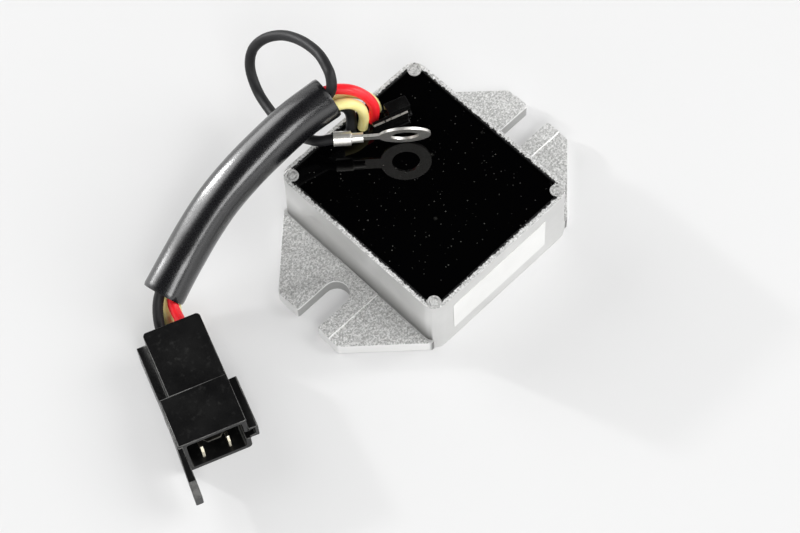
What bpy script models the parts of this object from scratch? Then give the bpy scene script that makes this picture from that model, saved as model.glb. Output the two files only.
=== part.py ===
"""Voltage regulator rectifier with its plug, ring terminal and leads.

Metres, +Z up. The origin is under the middle of the cast case, which stands on Z = 0. The ears point
along X, the labelled wall faces -Y and the leads leave near the +Y wall.
"""
import math

import bmesh
import bpy
from mathutils import Matrix, Vector

# Cast case
CASE_X = 0.0578
CASE_Y = 0.0660
CASE_HEIGHT = 0.0250
CASE_DRAFT = 0.0004
CASE_WALL = 0.00185
CASE_FLOOR = 0.0045
CASE_CORNER = 0.0042
POST_RADIUS = 0.0021
POST_INSET = 0.0033
POST_DROP = 0.0003
POST_RIM = 0.00015
EAR_REACH = 0.02035
EAR_TIP_WIDTH = 0.0253
EAR_THICKNESS = 0.0046
EAR_TIP_CORNER = 0.0016
BAND_WIDTH = 0.0180
BAND_HEIGHT = 0.0052
SLOT_WIDTH = 0.0084
SLOT_DEPTH = 0.0159
SLOT_MOUTH_CORNER = 0.0008

# Clearances
FIT = 0.0003
POT_GAP = 0.0001
STICK = 0.00003

# Potting and label
POT_TOP = 0.0242
LABEL_LENGTH = 0.0385
LABEL_HEIGHT = 0.0140
LABEL_THICKNESS = 0.00012
LABEL_X = -0.0016
LABEL_Z = 0.0126

# Parts on the case floor
PAD_X = 0.0460
PAD_Y = 0.0180
PAD_THICKNESS = 0.0005
DEVICE_PITCH = 0.0110
DEVICE_WIDTH = 0.0100
DEVICE_BODY = 0.0090
DEVICE_HEIGHT = 0.0044
TAB_LENGTH = 0.0060
TAB_THICKNESS = 0.0013
TAB_HOLE = 0.0036
LEG_PITCH = 0.00254
LEG_WIDTH = 0.0008
LEG_REACH = 0.0025

# Main board and what stands on it
BOARD_SIDE_MARGIN = 0.00505
BOARD_FRONT_MARGIN = 0.00415
BOARD_BACK_MARGIN = 0.00115
BOARD_THICKNESS = 0.0016
BOARD_BOTTOM = 0.0100
STAND_TURN = math.radians(-18.6)
STAND_CORNER = (0.0014, 0.0221)
STAND_TOP = 0.0292
SIDE_BOARD_LENGTH = 0.0113
SIDE_BOARD_THICKNESS = 0.0016
CAP_LENGTH = 0.0071
CAP_DEPTH = 0.0038
CAP_HEIGHT = 0.0120
CAP_START = 0.0058
CAP_LEG_RADIUS = 0.0004
CAP_LEG_PITCH = 0.0050
AXIAL_WIRE = 0.0004
AXIAL_LIFT = 0.0022
ZENER_RADIUS = 0.0013
ZENER_LENGTH = 0.0042
ZENER_AT = (-0.0120, 0.0120)
RESISTOR_RADIUS = 0.0015
RESISTOR_LENGTH = 0.0068
RESISTOR_AT = (-0.0120, -0.0060)

# Leads and sleeve
LEAD_RADIUS = 0.0016
LEAD_STEP = 0.0025
SLEEVE_RADIUS = 0.0066
SLEEVE_WALL = 0.0006
SPINE_STEP = 0.0050

# Ring terminal
RING_AT = (0.0047, 0.0125, 0.0320)
RING_TURN = math.radians(138.5)
RING_TILT = math.radians(73.5)
RING_RADIUS = 0.0077
RING_HOLE = 0.0084
RING_THICKNESS = 0.0008
NECK_WIDTH = 0.0040
BARREL_RADIUS = 0.0022
BARREL_LENGTH = 0.0052
BARREL_MOUTH = 0.0210
CRIMP_TUBE_RADIUS = 0.0015
CRIMP_TUBE_LENGTH = 0.0032
CRIMP_SEAM = 0.0004

# Plug, in its own frame: X from the wire end to the mouth, Y across, Z up
PLUG_AT = (-0.0826, 0.0233, 0.0)
PLUG_TURN = math.radians(-111.3)
BODY_REAR = -0.0006
BODY_LENGTH = 0.0202
BODY_LEFT = -0.0076
BODY_RIGHT = 0.01015
BODY_HEIGHT = 0.0158
BODY_CORNER = 0.0014
HOOD_LEFT = -0.0105
HOOD_HEIGHT = 0.0165
HOOD_END = 0.0384
HOOD_SLANT = 0.0012
HOOD_CORNER = 0.0012
MOUTH_FLOOR = 0.0240
WALL_LEFT = 0.0022
WALL_RIGHT = 0.0015
WALL_TOP = 0.0012
WALL_BOTTOM = 0.0015
FINGER_START = 0.0222
FINGER_END = 0.0520
FINGER_LEFT = -0.0118
FINGER_WIDTH = 0.0024
FINGER_BOTTOM = 0.0070
FINGER_TOP = 0.0156
FINGER_RAMP = 0.0040
RAIL_START = 0.0002
RAIL_LEFT = -0.0104
RAIL_HEIGHT = 0.0100
CHANNEL_START = 0.0205
CHANNEL_END = 0.0375
CHANNEL_RIGHT = 0.0131
CHANNEL_BOTTOM = 0.0040
CHANNEL_TOP = 0.0105
CHANNEL_WALL = 0.0011

# Blades
BLADE_WIDTH = 0.0063
BLADE_THICKNESS = 0.0008
BLADE_TIP = 0.0373
BLADE_TOP_TIP = 0.0368
BLADE_TAPER = 0.0012
BLADE_SPREAD = 0.00405
BLADE_BOTTOM = 0.0018
BLADE_TOP_Z = 0.0113
CRIMP_START = 0.0085
CRIMP_LENGTH = 0.0040
CRIMP_ROUND = 0.0012
LEAD_DEPTH = 0.0082

# The sleeve's centre line, from the plug's end to the mouth beside the case
SPINE = [(-0.0750, 0.0343, 0.0100), (-0.0645, 0.0368, 0.0148), (-0.0555, 0.0382, 0.0200),
         (-0.0464, 0.0389, 0.0250), (-0.0366, 0.0387, 0.0295), (-0.0261, 0.0380, 0.0330),
         (-0.0155, 0.0369, 0.0362), (-0.0044, 0.0351, 0.0380)]

# Each lead's place in the sleeve: share of the length, distance from the centre line, angle in degrees
LANES = {
    "black": [(0, 0.0032, 451), (0.15, 0.0039, 446), (0.40, 0.0039, 446), (0.82, 0.0036, 615), (1, 0.0038, 612)],
    "red": [(0, 0.0035, 158), (0.18, 0.0040, 160), (0.38, 0, 160), (0.39, 0, 33), (0.80, 0, 33),
            (1, 0.0036, 33)],
    "yellow_front": [(0, 0.0004, 250), (0.06, 0.0006, 300), (0.22, 0.0040, 360), (0.40, 0.0040, 360),
                     (0.82, 0.0036, 545), (1, 0.0036, 545)],
    "yellow_rear": [(0, 0.0040, 220), (0.10, 0.0040, 214), (0.40, 0.0040, 214), (0.82, 0.0036, 325), (1, 0.0036, 325)],
    "ground": [(0, 0.0039, 276), (0.12, 0.0040, 267), (0.40, 0.0040, 268), (0.82, 0.0036, 465), (1, 0.0035, 465)],
}

# Where each lead enters the plug: across and up
ENTRIES = {
    "black": (-0.0018, 0.0070),
    "ground": (-0.0023, 0.0031),
    "yellow_front": (0.0015, 0.0056),
    "yellow_rear": (0.0047, 0.0034),
    "red": (0.0047, 0.0098),
}

# The share of the sleeve that each lead keeps to its lane, then its points from there on
LANE_SPANS = {"black": (0, 0.95), "red": (0.015, 0.93), "yellow_front": (0, 0.93), "yellow_rear": (0.015, 0.92),
              "ground": (0, 0.92)}
ROUTES = {
    "black": [(-0.0030, 0.0324, 0.0342), (-0.0010, 0.0312, 0.0322), (-0.0008, 0.0297, 0.0285),
              (-0.0021, 0.0286, 0.0250), (-0.0022, 0.0285, 0.0210), (-0.0022, 0.0285, 0.0119)],
    "yellow_front": [(-0.0040, 0.0310, 0.0378), (-0.0012, 0.0293, 0.0372), (0.0012, 0.0275, 0.0340),
                     (0.0015, 0.0266, 0.0293), (0.0007, 0.0265, 0.0250), (0.0006, 0.0265, 0.0210),
                     (0.0006, 0.0265, 0.0119)],
    "yellow_rear": [(-0.0010, 0.0345, 0.0358), (0.0026, 0.0325, 0.0350), (0.0060, 0.0304, 0.0318),
                    (0.0077, 0.0289, 0.0280), (0.0079, 0.0280, 0.0250), (0.0078, 0.0280, 0.0210),
                    (0.0078, 0.0280, 0.0119)],
    "red": [(-0.0018, 0.0347, 0.0398), (0.0014, 0.0312, 0.0397), (0.0041, 0.0281, 0.0365),
            (0.0053, 0.0260, 0.0310), (0.0046, 0.0260, 0.0250), (0.0045, 0.0260, 0.0210),
            (0.0045, 0.0260, 0.0119)],
    "ground": [(-0.0046, 0.0339, 0.0419), (-0.0033, 0.0342, 0.0451),
               (-0.0020, 0.0361, 0.0469), (-0.0006, 0.0395, 0.0471), (0.0006, 0.0434, 0.0465), (0.0013, 0.0482, 0.0450),
               (0.0014, 0.0548, 0.0420), (0.0002, 0.0616, 0.0375), (-0.0024, 0.0661, 0.0330),
               (-0.0053, 0.0682, 0.0280), (-0.0079, 0.0670, 0.0230), (-0.0104, 0.0618, 0.0190),
               (-0.0127, 0.0533, 0.0188), (-0.0148, 0.0424, 0.0225), (-0.0149, 0.0345, 0.0274),
               (-0.0134, 0.0289, 0.0309), (-0.01133, 0.02665, 0.0320), (-0.00958, 0.02511, 0.0320),
               (-0.00803, 0.02376, 0.0320)],
}


def clear_scene():
    for obj in list(bpy.data.objects):
        bpy.data.objects.remove(obj, do_unlink=True)


def new_collection(name, hidden=False):
    found = bpy.data.collections.new(name)
    bpy.context.scene.collection.children.link(found)
    found.hide_render = hidden
    return found


def material(name, colour, roughness, metallic=0.0):
    made = bpy.data.materials.new(name)
    made.use_nodes = True
    shader = made.node_tree.nodes["Principled BSDF"]
    shader.inputs["Base Color"].default_value = (*colour, 1.0)
    shader.inputs["Roughness"].default_value = roughness
    shader.inputs["Metallic"].default_value = metallic
    return made


def make_object(name, bm, look=None, parent=None):
    """A bmesh made into an object: a node of the part where it has a look, otherwise a helper."""
    bmesh.ops.recalc_face_normals(bm, faces=bm.faces)
    mesh = bpy.data.meshes.new(name)
    bm.to_mesh(mesh)
    bm.free()
    return place_object(name, mesh, look, parent)


def place_object(name, data, look=None, parent=None):
    obj = bpy.data.objects.new(name, data)
    if look is None:
        HELPERS.objects.link(obj)
        obj.hide_render = True
        obj.display_type = "WIRE"
    else:
        PART.objects.link(obj)
        data.materials.append(look)
    if parent is not None:
        obj.parent = parent
    return obj


def make_empty(name, location, rotation):
    empty = bpy.data.objects.new(name, None)
    empty.location = location
    empty.rotation_euler = rotation
    empty.empty_display_size = 0.01
    PART.objects.link(empty)
    return empty


def boolean(obj, other, operation):
    step = obj.modifiers.new(other.name, "BOOLEAN")
    step.object = other
    step.operation = operation
    step.solver = "EXACT"


def smooth(obj, angle=35.0):
    for face in obj.data.polygons:
        face.use_smooth = True
    obj.data.set_sharp_from_angle(angle=math.radians(angle))


def box(x, y, z):
    """A cube scaled to the spans x, y and z, each (low, high)."""
    bm = bmesh.new()
    middle = Vector([sum(span) / 2 for span in (x, y, z)])
    size = Matrix.Diagonal([span[1] - span[0] for span in (x, y, z)] + [1.0])
    bmesh.ops.create_cube(bm, size=1.0, matrix=Matrix.Translation(middle) @ size)
    return bm


def rod(start, end, radius, sides=24, end_radius=None):
    """A cylinder from start to end, or a cone where end_radius differs."""
    bm = bmesh.new()
    start = Vector(start)
    along = Vector(end) - start
    turn = along.to_track_quat("Z", "Y").to_matrix().to_4x4()
    bmesh.ops.create_cone(
        bm, cap_ends=True, segments=sides, radius1=radius, depth=along.length,
        radius2=radius if end_radius is None else end_radius,
        matrix=Matrix.Translation(start + along / 2) @ turn,
    )
    return bm


def round_edges(bm, keep, width, segments):
    """Bevels the edges that keep(a, b) picks by their two ends."""
    edges = [edge for edge in bm.edges if keep(edge.verts[0].co, edge.verts[1].co)]
    bmesh.ops.bevel(bm, geom=edges, offset=width, segments=segments, profile=0.5, affect="EDGES")
    return bm


def upright(a, b):
    return abs(a.z - b.z) > 1e-4


def lengthwise(a, b):
    return abs(a.x - b.x) > 2 * (abs(a.y - b.y) + abs(a.z - b.z))


def tapered_box(half_x, half_y, z, draft_per_metre, corner, segments=5):
    """A box with rounded upright edges whose walls lean in by draft_per_metre from Z = 0."""
    bm = box((-half_x, half_x), (-half_y, half_y), z)
    round_edges(bm, upright, corner, segments)
    for vert in bm.verts:
        lean = draft_per_metre * vert.co.z
        vert.co.x -= math.copysign(lean, vert.co.x)
        vert.co.y -= math.copysign(lean, vert.co.y)
    return bm


def prism(outline, z):
    """A flat outline raised from z[0] to z[1]."""
    bm = bmesh.new()
    face = bm.faces.new([bm.verts.new((x, y, z[0])) for x, y in outline])
    raised = bmesh.ops.extrude_face_region(bm, geom=[face])
    for item in raised["geom"]:
        if isinstance(item, bmesh.types.BMVert):
            item.co.z = z[1]
    return bm


def filleted(corners, steps=4):
    """An outline of (x, y, radius) corners with each corner turned into an arc of its radius."""
    outline = []
    count = len(corners)
    for i, (x, y, radius) in enumerate(corners):
        here = Vector((x, y))
        if radius == 0:
            outline.append(here)
            continue
        before = (Vector(corners[i - 1][:2]) - here).normalized()
        after = (Vector(corners[(i + 1) % count][:2]) - here).normalized()
        half = before.angle(after) / 2
        middle = here + (before + after).normalized() * radius / math.sin(half)
        first = here + before * radius / math.tan(half) - middle
        last = here + after * radius / math.tan(half) - middle
        swing = first.angle_signed(last)
        for k in range(steps + 1):
            arm = first.copy()
            arm.rotate(Matrix.Rotation(-swing * k / steps, 2))
            outline.append(middle + arm)
    return outline


def ear_outline(root_half, tip_half, tip_corner):
    """Half the case's ear seen from above, pointing along +X, with its open slot."""
    root = CASE_X / 2 - CASE_WALL
    wall = CASE_X / 2
    tip = wall + EAR_REACH
    slot = SLOT_WIDTH / 2
    end = tip - SLOT_DEPTH + slot
    outer = filleted([(root, -root_half, 0), (wall, -root_half, 0), (tip, -tip_half, tip_corner),
                      (tip, -slot, SLOT_MOUTH_CORNER), (end, -slot, 0)])
    arc = [Vector((end + slot * math.cos(math.radians(a)), slot * math.sin(math.radians(a))))
           for a in range(255, 90, -15)]
    back = [Vector((point.x, -point.y)) for point in reversed(outer)]
    return outer + arc + back


def cavity_box(shrink, z):
    """The case's inside, smaller by shrink on each side."""
    half_x = CASE_X / 2 - CASE_WALL - shrink
    half_y = CASE_Y / 2 - CASE_WALL - shrink
    return tapered_box(half_x, half_y, z, CASE_DRAFT / CASE_HEIGHT, CASE_CORNER - CASE_WALL)


def post_centres():
    x = CASE_X / 2 - POST_INSET
    y = CASE_Y / 2 - POST_INSET
    return [(x, y), (x, -y), (-x, y), (-x, -y)]


def build_case():
    cast = material("cast aluminium", (0.62, 0.63, 0.64), 0.42, 1.0)
    walls = tapered_box(CASE_X / 2, CASE_Y / 2, (0, CASE_HEIGHT), CASE_DRAFT / CASE_HEIGHT, CASE_CORNER)
    case = make_object("housing", walls, cast)
    for side in (1, -1):
        plate = prism(ear_outline(CASE_Y / 2 - CASE_CORNER * 0.3, EAR_TIP_WIDTH / 2, EAR_TIP_CORNER),
                      (0, EAR_THICKNESS))
        band = prism(ear_outline(BAND_WIDTH / 2, BAND_WIDTH / 2, 0), (EAR_THICKNESS - CASE_WALL, BAND_HEIGHT))
        for bm, kind in ((plate, "ear"), (band, "band")):
            helper = make_object(f"{kind} {'right' if side > 0 else 'left'}", bm)
            helper.rotation_euler = (0, 0, 0 if side > 0 else math.pi)
            boolean(case, helper, "UNION")
    hollow = make_object("case hollow", cavity_box(0, (CASE_FLOOR, CASE_HEIGHT + CASE_WALL)))
    boolean(case, hollow, "DIFFERENCE")
    for i, (x, y) in enumerate(post_centres()):
        top = CASE_HEIGHT - POST_DROP
        post = make_object(f"post {i}", rod((x, y, CASE_FLOOR / 2), (x, y, top + POST_DROP / 2), POST_RADIUS, 20))
        boolean(case, post, "UNION")
        sink = make_object(f"post sink {i}", rod((x, y, top), (x, y, CASE_HEIGHT + CASE_WALL), POST_RADIUS + POST_RIM, 24))
        boolean(case, sink, "DIFFERENCE")


def build_label():
    paper = material("label", (0.87, 0.87, 0.86), 0.35)
    lean = math.atan(CASE_DRAFT / CASE_HEIGHT)
    wall = CASE_Y / 2 - CASE_DRAFT * LABEL_Z / CASE_HEIGHT
    plate = box((-LABEL_LENGTH / 2, LABEL_LENGTH / 2), (-LABEL_THICKNESS, 0),
                (-LABEL_HEIGHT / 2, LABEL_HEIGHT / 2))
    label = make_object("label", plate, paper)
    label.location = (LABEL_X, -wall - STICK, LABEL_Z)
    label.rotation_euler = (-lean, 0, 0)


def pad_top():
    return CASE_FLOOR + STICK + PAD_THICKNESS


def device_boxes(x, grow=0.0):
    """The tab, the body and the space of the legs of a power device whose middle is at x."""
    half = DEVICE_WIDTH / 2 + grow
    low = pad_top() + STICK
    back = DEVICE_BODY - PAD_Y / 2 + TAB_LENGTH
    front = back - DEVICE_BODY
    legs = LEG_PITCH + LEG_WIDTH / 2 + grow
    return {
        "tab": ((x - half, x + half), (front - TAB_LENGTH - grow, front + DEVICE_BODY / 2),
                (low - grow, low + TAB_THICKNESS + grow)),
        "body": ((x - half, x + half), (front - grow, back + grow), (low - grow, low + DEVICE_HEIGHT + grow)),
        "legs": ((x - legs, x + legs), (back - DEVICE_BODY / 2, back + LEG_REACH + LEG_WIDTH + grow),
                 (low + DEVICE_HEIGHT / 2 - grow, BOARD_BOTTOM)),
    }


def build_device(name, x, look):
    spaces = device_boxes(x)
    device = make_object(name, box(*spaces["body"]), look)
    low = pad_top() + STICK
    front = spaces["body"][1][0]
    back = spaces["body"][1][1]
    tab = make_object(name + " tab", box(*spaces["tab"]))
    boolean(device, tab, "UNION")
    hole_y = front - TAB_LENGTH / 2
    hole = make_object(name + " hole", rod((x, hole_y, 0), (x, hole_y, BOARD_BOTTOM), TAB_HOLE / 2, 16))
    boolean(device, hole, "DIFFERENCE")
    height = low + DEVICE_HEIGHT / 2
    for k in (-1, 0, 1):
        leg_x = (x + k * LEG_PITCH - LEG_WIDTH / 2, x + k * LEG_PITCH + LEG_WIDTH / 2)
        flat = box(leg_x, (back - LEG_REACH, back + LEG_REACH), (height, height + LEG_WIDTH))
        rise = box(leg_x, (back + LEG_REACH - LEG_WIDTH, back + LEG_REACH), (height, BOARD_BOTTOM - FIT))
        for bm, part in ((flat, "foot"), (rise, "rise")):
            boolean(device, make_object(f"{name} {part} {k + 1}", bm), "UNION")


def build_board():
    pad_look = material("pad", (0.55, 0.57, 0.60), 0.8)
    pad = box((-PAD_X / 2, PAD_X / 2), (-PAD_Y / 2, PAD_Y / 2), (CASE_FLOOR + STICK, pad_top()))
    make_object("thermal_pad", pad, pad_look)
    black = material("device", (0.02, 0.02, 0.02), 0.5)
    for i, name in enumerate(("thyristor_1", "thyristor_2", "diode_1", "diode_2")):
        build_device(name, (i - 1.5) * DEVICE_PITCH, black)
    green = material("board", (0.03, 0.16, 0.07), 0.45)
    make_object("circuit_board", box(*board_spans()), green)


def board_spans(grow=0.0):
    half_x = CASE_X / 2 - CASE_WALL - BOARD_SIDE_MARGIN
    front = BOARD_FRONT_MARGIN + CASE_WALL - CASE_Y / 2
    back = CASE_Y / 2 - CASE_WALL - BOARD_BACK_MARGIN
    return ((-half_x - grow, half_x + grow), (front - grow, back + grow),
            (BOARD_BOTTOM - grow, BOARD_BOTTOM + BOARD_THICKNESS + grow))


def board_top():
    return BOARD_BOTTOM + BOARD_THICKNESS


def build_axial(name, at, radius, length, look, grow=0.0, as_helper=False):
    """A small part with a wire at each end, bent down to the board."""
    height = board_top() + radius + AXIAL_LIFT
    wire = AXIAL_WIRE + grow
    body = rod((at[0] - length / 2 - grow, at[1], height), (at[0] + length / 2 + grow, at[1], height),
               radius + grow, 20)
    part = make_object(name, body, None if as_helper else look)
    reach = length / 2 + 4 * AXIAL_WIRE
    foot = board_top() + FIT - grow
    for side in (-1, 1):
        x = at[0] + side * reach
        ends = box(sorted((at[0], x + side * wire)), (at[1] - wire, at[1] + wire), (height - wire, height + wire))
        drop = box((x - wire, x + wire), (at[1] - wire, at[1] + wire), (foot, height))
        for bm, kind in ((ends, "wire"), (drop, "leg")):
            boolean(part, make_object(f"{name} {kind} {side}", bm), "UNION")
    return part


def stand_box(along, depth, z):
    """A box in the turned frame of the upright board, put into the part's frame."""
    bm = box(along, depth, z)
    turn = Matrix.Translation((*STAND_CORNER, 0)) @ Matrix.Rotation(STAND_TURN, 4, "Z")
    bmesh.ops.transform(bm, matrix=turn, verts=bm.verts)
    return bm


def side_board_box(grow=0.0):
    return stand_box((-grow, SIDE_BOARD_LENGTH + grow), (-grow, SIDE_BOARD_THICKNESS + grow),
                     (board_top() + FIT - grow, STAND_TOP + grow))


def capacitor_boxes(grow=0.0):
    near = SIDE_BOARD_THICKNESS + FIT
    body = stand_box((CAP_START - grow, CAP_START + CAP_LENGTH + grow), (near - grow, near + CAP_DEPTH + grow),
                     (STAND_TOP - CAP_HEIGHT - grow, STAND_TOP + grow))
    legs = []
    for side in (-0.5, 0.5):
        middle = CAP_START + CAP_LENGTH / 2 + side * CAP_LEG_PITCH
        wire = CAP_LEG_RADIUS + grow
        legs.append(stand_box((middle - wire, middle + wire),
                              (near + CAP_DEPTH / 2 - wire, near + CAP_DEPTH / 2 + wire),
                              (board_top() + FIT - grow, STAND_TOP - CAP_HEIGHT / 2)))
    return body, legs


def build_small_parts():
    glass = material("zener diode", (0.45, 0.12, 0.05), 0.2)
    build_axial("zener_diode", ZENER_AT, ZENER_RADIUS, ZENER_LENGTH, glass)
    tan = material("resistor", (0.55, 0.42, 0.25), 0.5)
    build_axial("resistor", RESISTOR_AT, RESISTOR_RADIUS, RESISTOR_LENGTH, tan)
    dark = material("side board", (0.012, 0.014, 0.013), 0.25)
    make_object("side_board", side_board_box(), dark)
    shell = material("capacitor", (0.012, 0.012, 0.014), 0.25)
    body, legs = capacitor_boxes()
    capacitor = make_object("capacitor", body, shell)
    for i, leg in enumerate(legs):
        boolean(capacitor, make_object(f"capacitor leg {i}", leg), "UNION")


def build_potting():
    compound = material("potting", (0.004, 0.004, 0.005), 0.06)
    potting = make_object("potting", cavity_box(POT_GAP, (CASE_FLOOR + POT_GAP, POT_TOP)), compound)
    cuts = []
    for x, y in post_centres():
        cuts.append(rod((x, y, 0), (x, y, CASE_HEIGHT + CASE_WALL), POST_RADIUS + POT_GAP, 20))
    half = (PAD_X / 2 + FIT, PAD_Y / 2 + FIT)
    cuts.append(box((-half[0], half[0]), (-half[1], half[1]), (0, pad_top() + FIT)))
    for i in range(4):
        cuts += [box(*spans) for spans in device_boxes((i - 1.5) * DEVICE_PITCH, FIT).values()]
    cuts.append(box(*board_spans(FIT)))
    cuts.append(side_board_box(FIT))
    body, legs = capacitor_boxes(FIT)
    cuts += [body, *legs]
    for name, points in ROUTES.items():
        if name != "ground":
            x, y, z = points[-1]
            cuts.append(rod((x, y, z - 2 * FIT), (x, y, POT_TOP + CASE_WALL), LEAD_RADIUS + FIT, 16))
    for i, bm in enumerate(cuts):
        boolean(potting, make_object(f"potting cut {i:02d}", bm), "DIFFERENCE")
    for name, at, radius, length in (("zener", ZENER_AT, ZENER_RADIUS, ZENER_LENGTH),
                                     ("resistor", RESISTOR_AT, RESISTOR_RADIUS, RESISTOR_LENGTH)):
        boolean(potting, build_axial(f"{name} cut", at, radius, length, None, FIT, True), "DIFFERENCE")


def flowing(points, step):
    """A smooth curve through the points, with a point about every step."""
    points = [Vector(point) for point in points]
    spans = [(b - a).length for a, b in zip(points, points[1:])]
    slopes = [(b - a) / span for a, b, span in zip(points, points[1:], spans)]
    tangents = [slopes[0]]
    for i in range(1, len(spans)):
        mixed = slopes[i - 1] * spans[i] + slopes[i] * spans[i - 1]
        tangents.append(mixed / (spans[i - 1] + spans[i]))
    tangents.append(slopes[-1])
    curve = []
    for i, span in enumerate(spans):
        count = max(1, round(span / step))
        for k in range(count):
            t = k / count
            curve.append((2 * t ** 3 - 3 * t ** 2 + 1) * points[i] + (t ** 3 - 2 * t ** 2 + t) * span * tangents[i]
                         + (3 * t ** 2 - 2 * t ** 3) * points[i + 1] + (t ** 3 - t ** 2) * span * tangents[i + 1])
    curve.append(points[-1])
    return curve


def lane_offset(name, share):
    """How far a lead lies to the side of the centre line and above it, at this share of the sleeve."""
    keys = LANES[name]
    share = min(share, keys[-1][0])
    for (from_share, from_radius, from_angle), (to_share, to_radius, to_angle) in zip(keys, keys[1:]):
        if share <= to_share:
            t = (share - from_share) / (to_share - from_share)
            t = t * t * (3 - 2 * t)
            radius = from_radius + (to_radius - from_radius) * t
            angle = math.radians(from_angle + (to_angle - from_angle) * t)
            return radius * math.cos(angle), radius * math.sin(angle)


def lane_points(name, count=17):
    line = flowing(SPINE, 0.001)
    start, end = LANE_SPANS[name]
    found = []
    for i in range(count):
        share = start + (end - start) * i / (count - 1)
        at = share * (len(line) - 1)
        low = min(int(at), len(line) - 2)
        middle = line[low].lerp(line[low + 1], at - low)
        along = (line[min(low + 2, len(line) - 1)] - line[max(low - 1, 0)]).normalized()
        side = Vector((0, 0, 1)).cross(along).normalized()
        up = along.cross(side)
        across, above = lane_offset(name, share)
        found.append(middle + side * across + up * above)
    return found


def lead_route(name):
    """A lead's centre line, from its end in the plug to its other end."""
    plug = Matrix.Translation(PLUG_AT) @ Matrix.Rotation(PLUG_TURN, 4, "Z")
    across, up = ENTRIES[name]
    inside = [plug @ Vector((depth, across, up)) for depth in (LEAD_DEPTH, LEAD_DEPTH / 2, 0.0, -0.0012)]
    return flowing(inside + lane_points(name) + [Vector(point) for point in ROUTES[name]], LEAD_STEP)


def tube(name, points, radius, sides, look, caps):
    data = bpy.data.curves.new(name, "CURVE")
    data.dimensions = "3D"
    data.bevel_depth = radius
    data.bevel_resolution = (sides - 4) // 2
    data.use_fill_caps = caps
    spline = data.splines.new("POLY")
    spline.points.add(len(points) - 1)
    for item, point in zip(spline.points, points):
        item.co = (*point, 1.0)
    return place_object(name, data, look)


def build_leads():
    looks = {
        "black": ("black_lead", (0.015, 0.015, 0.016), 0.4),
        "yellow_front": ("yellow_lead_front", (0.90, 0.78, 0.33), 0.4),
        "yellow_rear": ("yellow_lead_rear", (0.90, 0.78, 0.33), 0.4),
        "red": ("red_lead", (0.85, 0.04, 0.06), 0.4),
        "ground": ("ground_lead", (0.015, 0.015, 0.016), 0.4),
    }
    for key, (name, colour, roughness) in looks.items():
        tube(name, lead_route(key), LEAD_RADIUS, 8, material(name, colour, roughness), True)
    guide = tube("sleeve guide", flowing(SPINE, SPINE_STEP), SLEEVE_RADIUS, 20, None, False)
    graph = bpy.context.evaluated_depsgraph_get()
    skin = bpy.data.meshes.new_from_object(guide.evaluated_get(graph))
    sleeve = place_object("sleeve", skin, material("sleeve", (0.012, 0.012, 0.013), 0.3))
    wall = sleeve.modifiers.new("wall", "SOLIDIFY")
    wall.thickness = SLEEVE_WALL
    wall.offset = -1.0
    smooth(sleeve, 40)


def build_ring_terminal():
    tinned = material("ring terminal", (0.80, 0.78, 0.74), 0.22, 1.0)
    mount = make_empty("ring_mount", RING_AT, (RING_TILT, 0, RING_TURN))
    half = RING_THICKNESS / 2
    terminal = make_object("ring_terminal", rod((0, 0, -half), (0, 0, half), RING_RADIUS, 48), tinned, mount)
    mouth = BARREL_MOUTH
    start = mouth - BARREL_LENGTH
    neck = make_object("neck", box((RING_RADIUS - RING_THICKNESS * 2, start + RING_THICKNESS),
                                   (-NECK_WIDTH / 2, NECK_WIDTH / 2), (-half, half)), None, mount)
    fold = make_object("fold", rod((start - RING_THICKNESS, 0, 0), (start + RING_THICKNESS / 2, 0, 0), NECK_WIDTH / 4,
                                   20, BARREL_RADIUS), None, mount)
    barrel = make_object("barrel", rod((start, 0, 0), (mouth, 0, 0), BARREL_RADIUS, 20), None, mount)
    pressed = start - RING_THICKNESS / 2 - CRIMP_TUBE_LENGTH
    tube_crimp = make_object("wire crimp", rod((pressed, 0, 0), (start + RING_THICKNESS / 4, 0, 0),
                                                CRIMP_TUBE_RADIUS, 24), None, mount)
    for helper in (neck, fold, barrel, tube_crimp):
        boolean(terminal, helper, "UNION")
    hole = make_object("ring hole", rod((0, 0, -RING_RADIUS), (0, 0, RING_RADIUS), RING_HOLE / 2, 40), None, mount)
    bore = make_object("barrel bore", rod((start + RING_THICKNESS, 0, 0), (mouth + RING_RADIUS, 0, 0),
                                          LEAD_RADIUS + FIT, 20), None, mount)
    seam = make_object("crimp seam", box((pressed - CRIMP_SEAM, start - RING_THICKNESS * 1.5),
                                         (-CRIMP_SEAM / 2, CRIMP_SEAM / 2),
                                         (CRIMP_TUBE_RADIUS - CRIMP_SEAM, BARREL_RADIUS)), None, mount)
    for helper in (hole, bore, seam):
        boolean(terminal, helper, "DIFFERENCE")


def crimp_spans():
    """Each blade's crimp in the plug's frame: across and up, round the leads that it holds."""
    spans = {}
    for blade, names in (("left", ("black", "ground")), ("right", ("yellow_front", "yellow_rear")), ("top", ("red",))):
        across = [ENTRIES[name][0] + side * CRIMP_ROUND for name in names for side in (-1, 1)]
        up = [ENTRIES[name][1] + side * CRIMP_ROUND for name in names for side in (-1, 1)]
        if blade == "top":
            up.append(BLADE_TOP_Z)
            across.append(BLADE_WIDTH / 2 - BLADE_THICKNESS)
        else:
            across.append(BLADE_SPREAD if blade == "right" else -BLADE_SPREAD)
        spans[blade] = ((min(across), max(across)), (min(up), max(up)))
    return spans


def blade_spans():
    """Each blade's section in the plug's frame: across and up."""
    half = BLADE_THICKNESS / 2
    tall = (BLADE_BOTTOM, BLADE_BOTTOM + BLADE_WIDTH)
    return {
        "left": ((-BLADE_SPREAD - half, -BLADE_SPREAD + half), tall),
        "right": ((BLADE_SPREAD - half, BLADE_SPREAD + half), tall),
        "top": ((-BLADE_WIDTH / 2, BLADE_WIDTH / 2), (BLADE_TOP_Z - half, BLADE_TOP_Z + half)),
    }


def grown(span, by):
    return (span[0] - by, span[1] + by)


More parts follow.
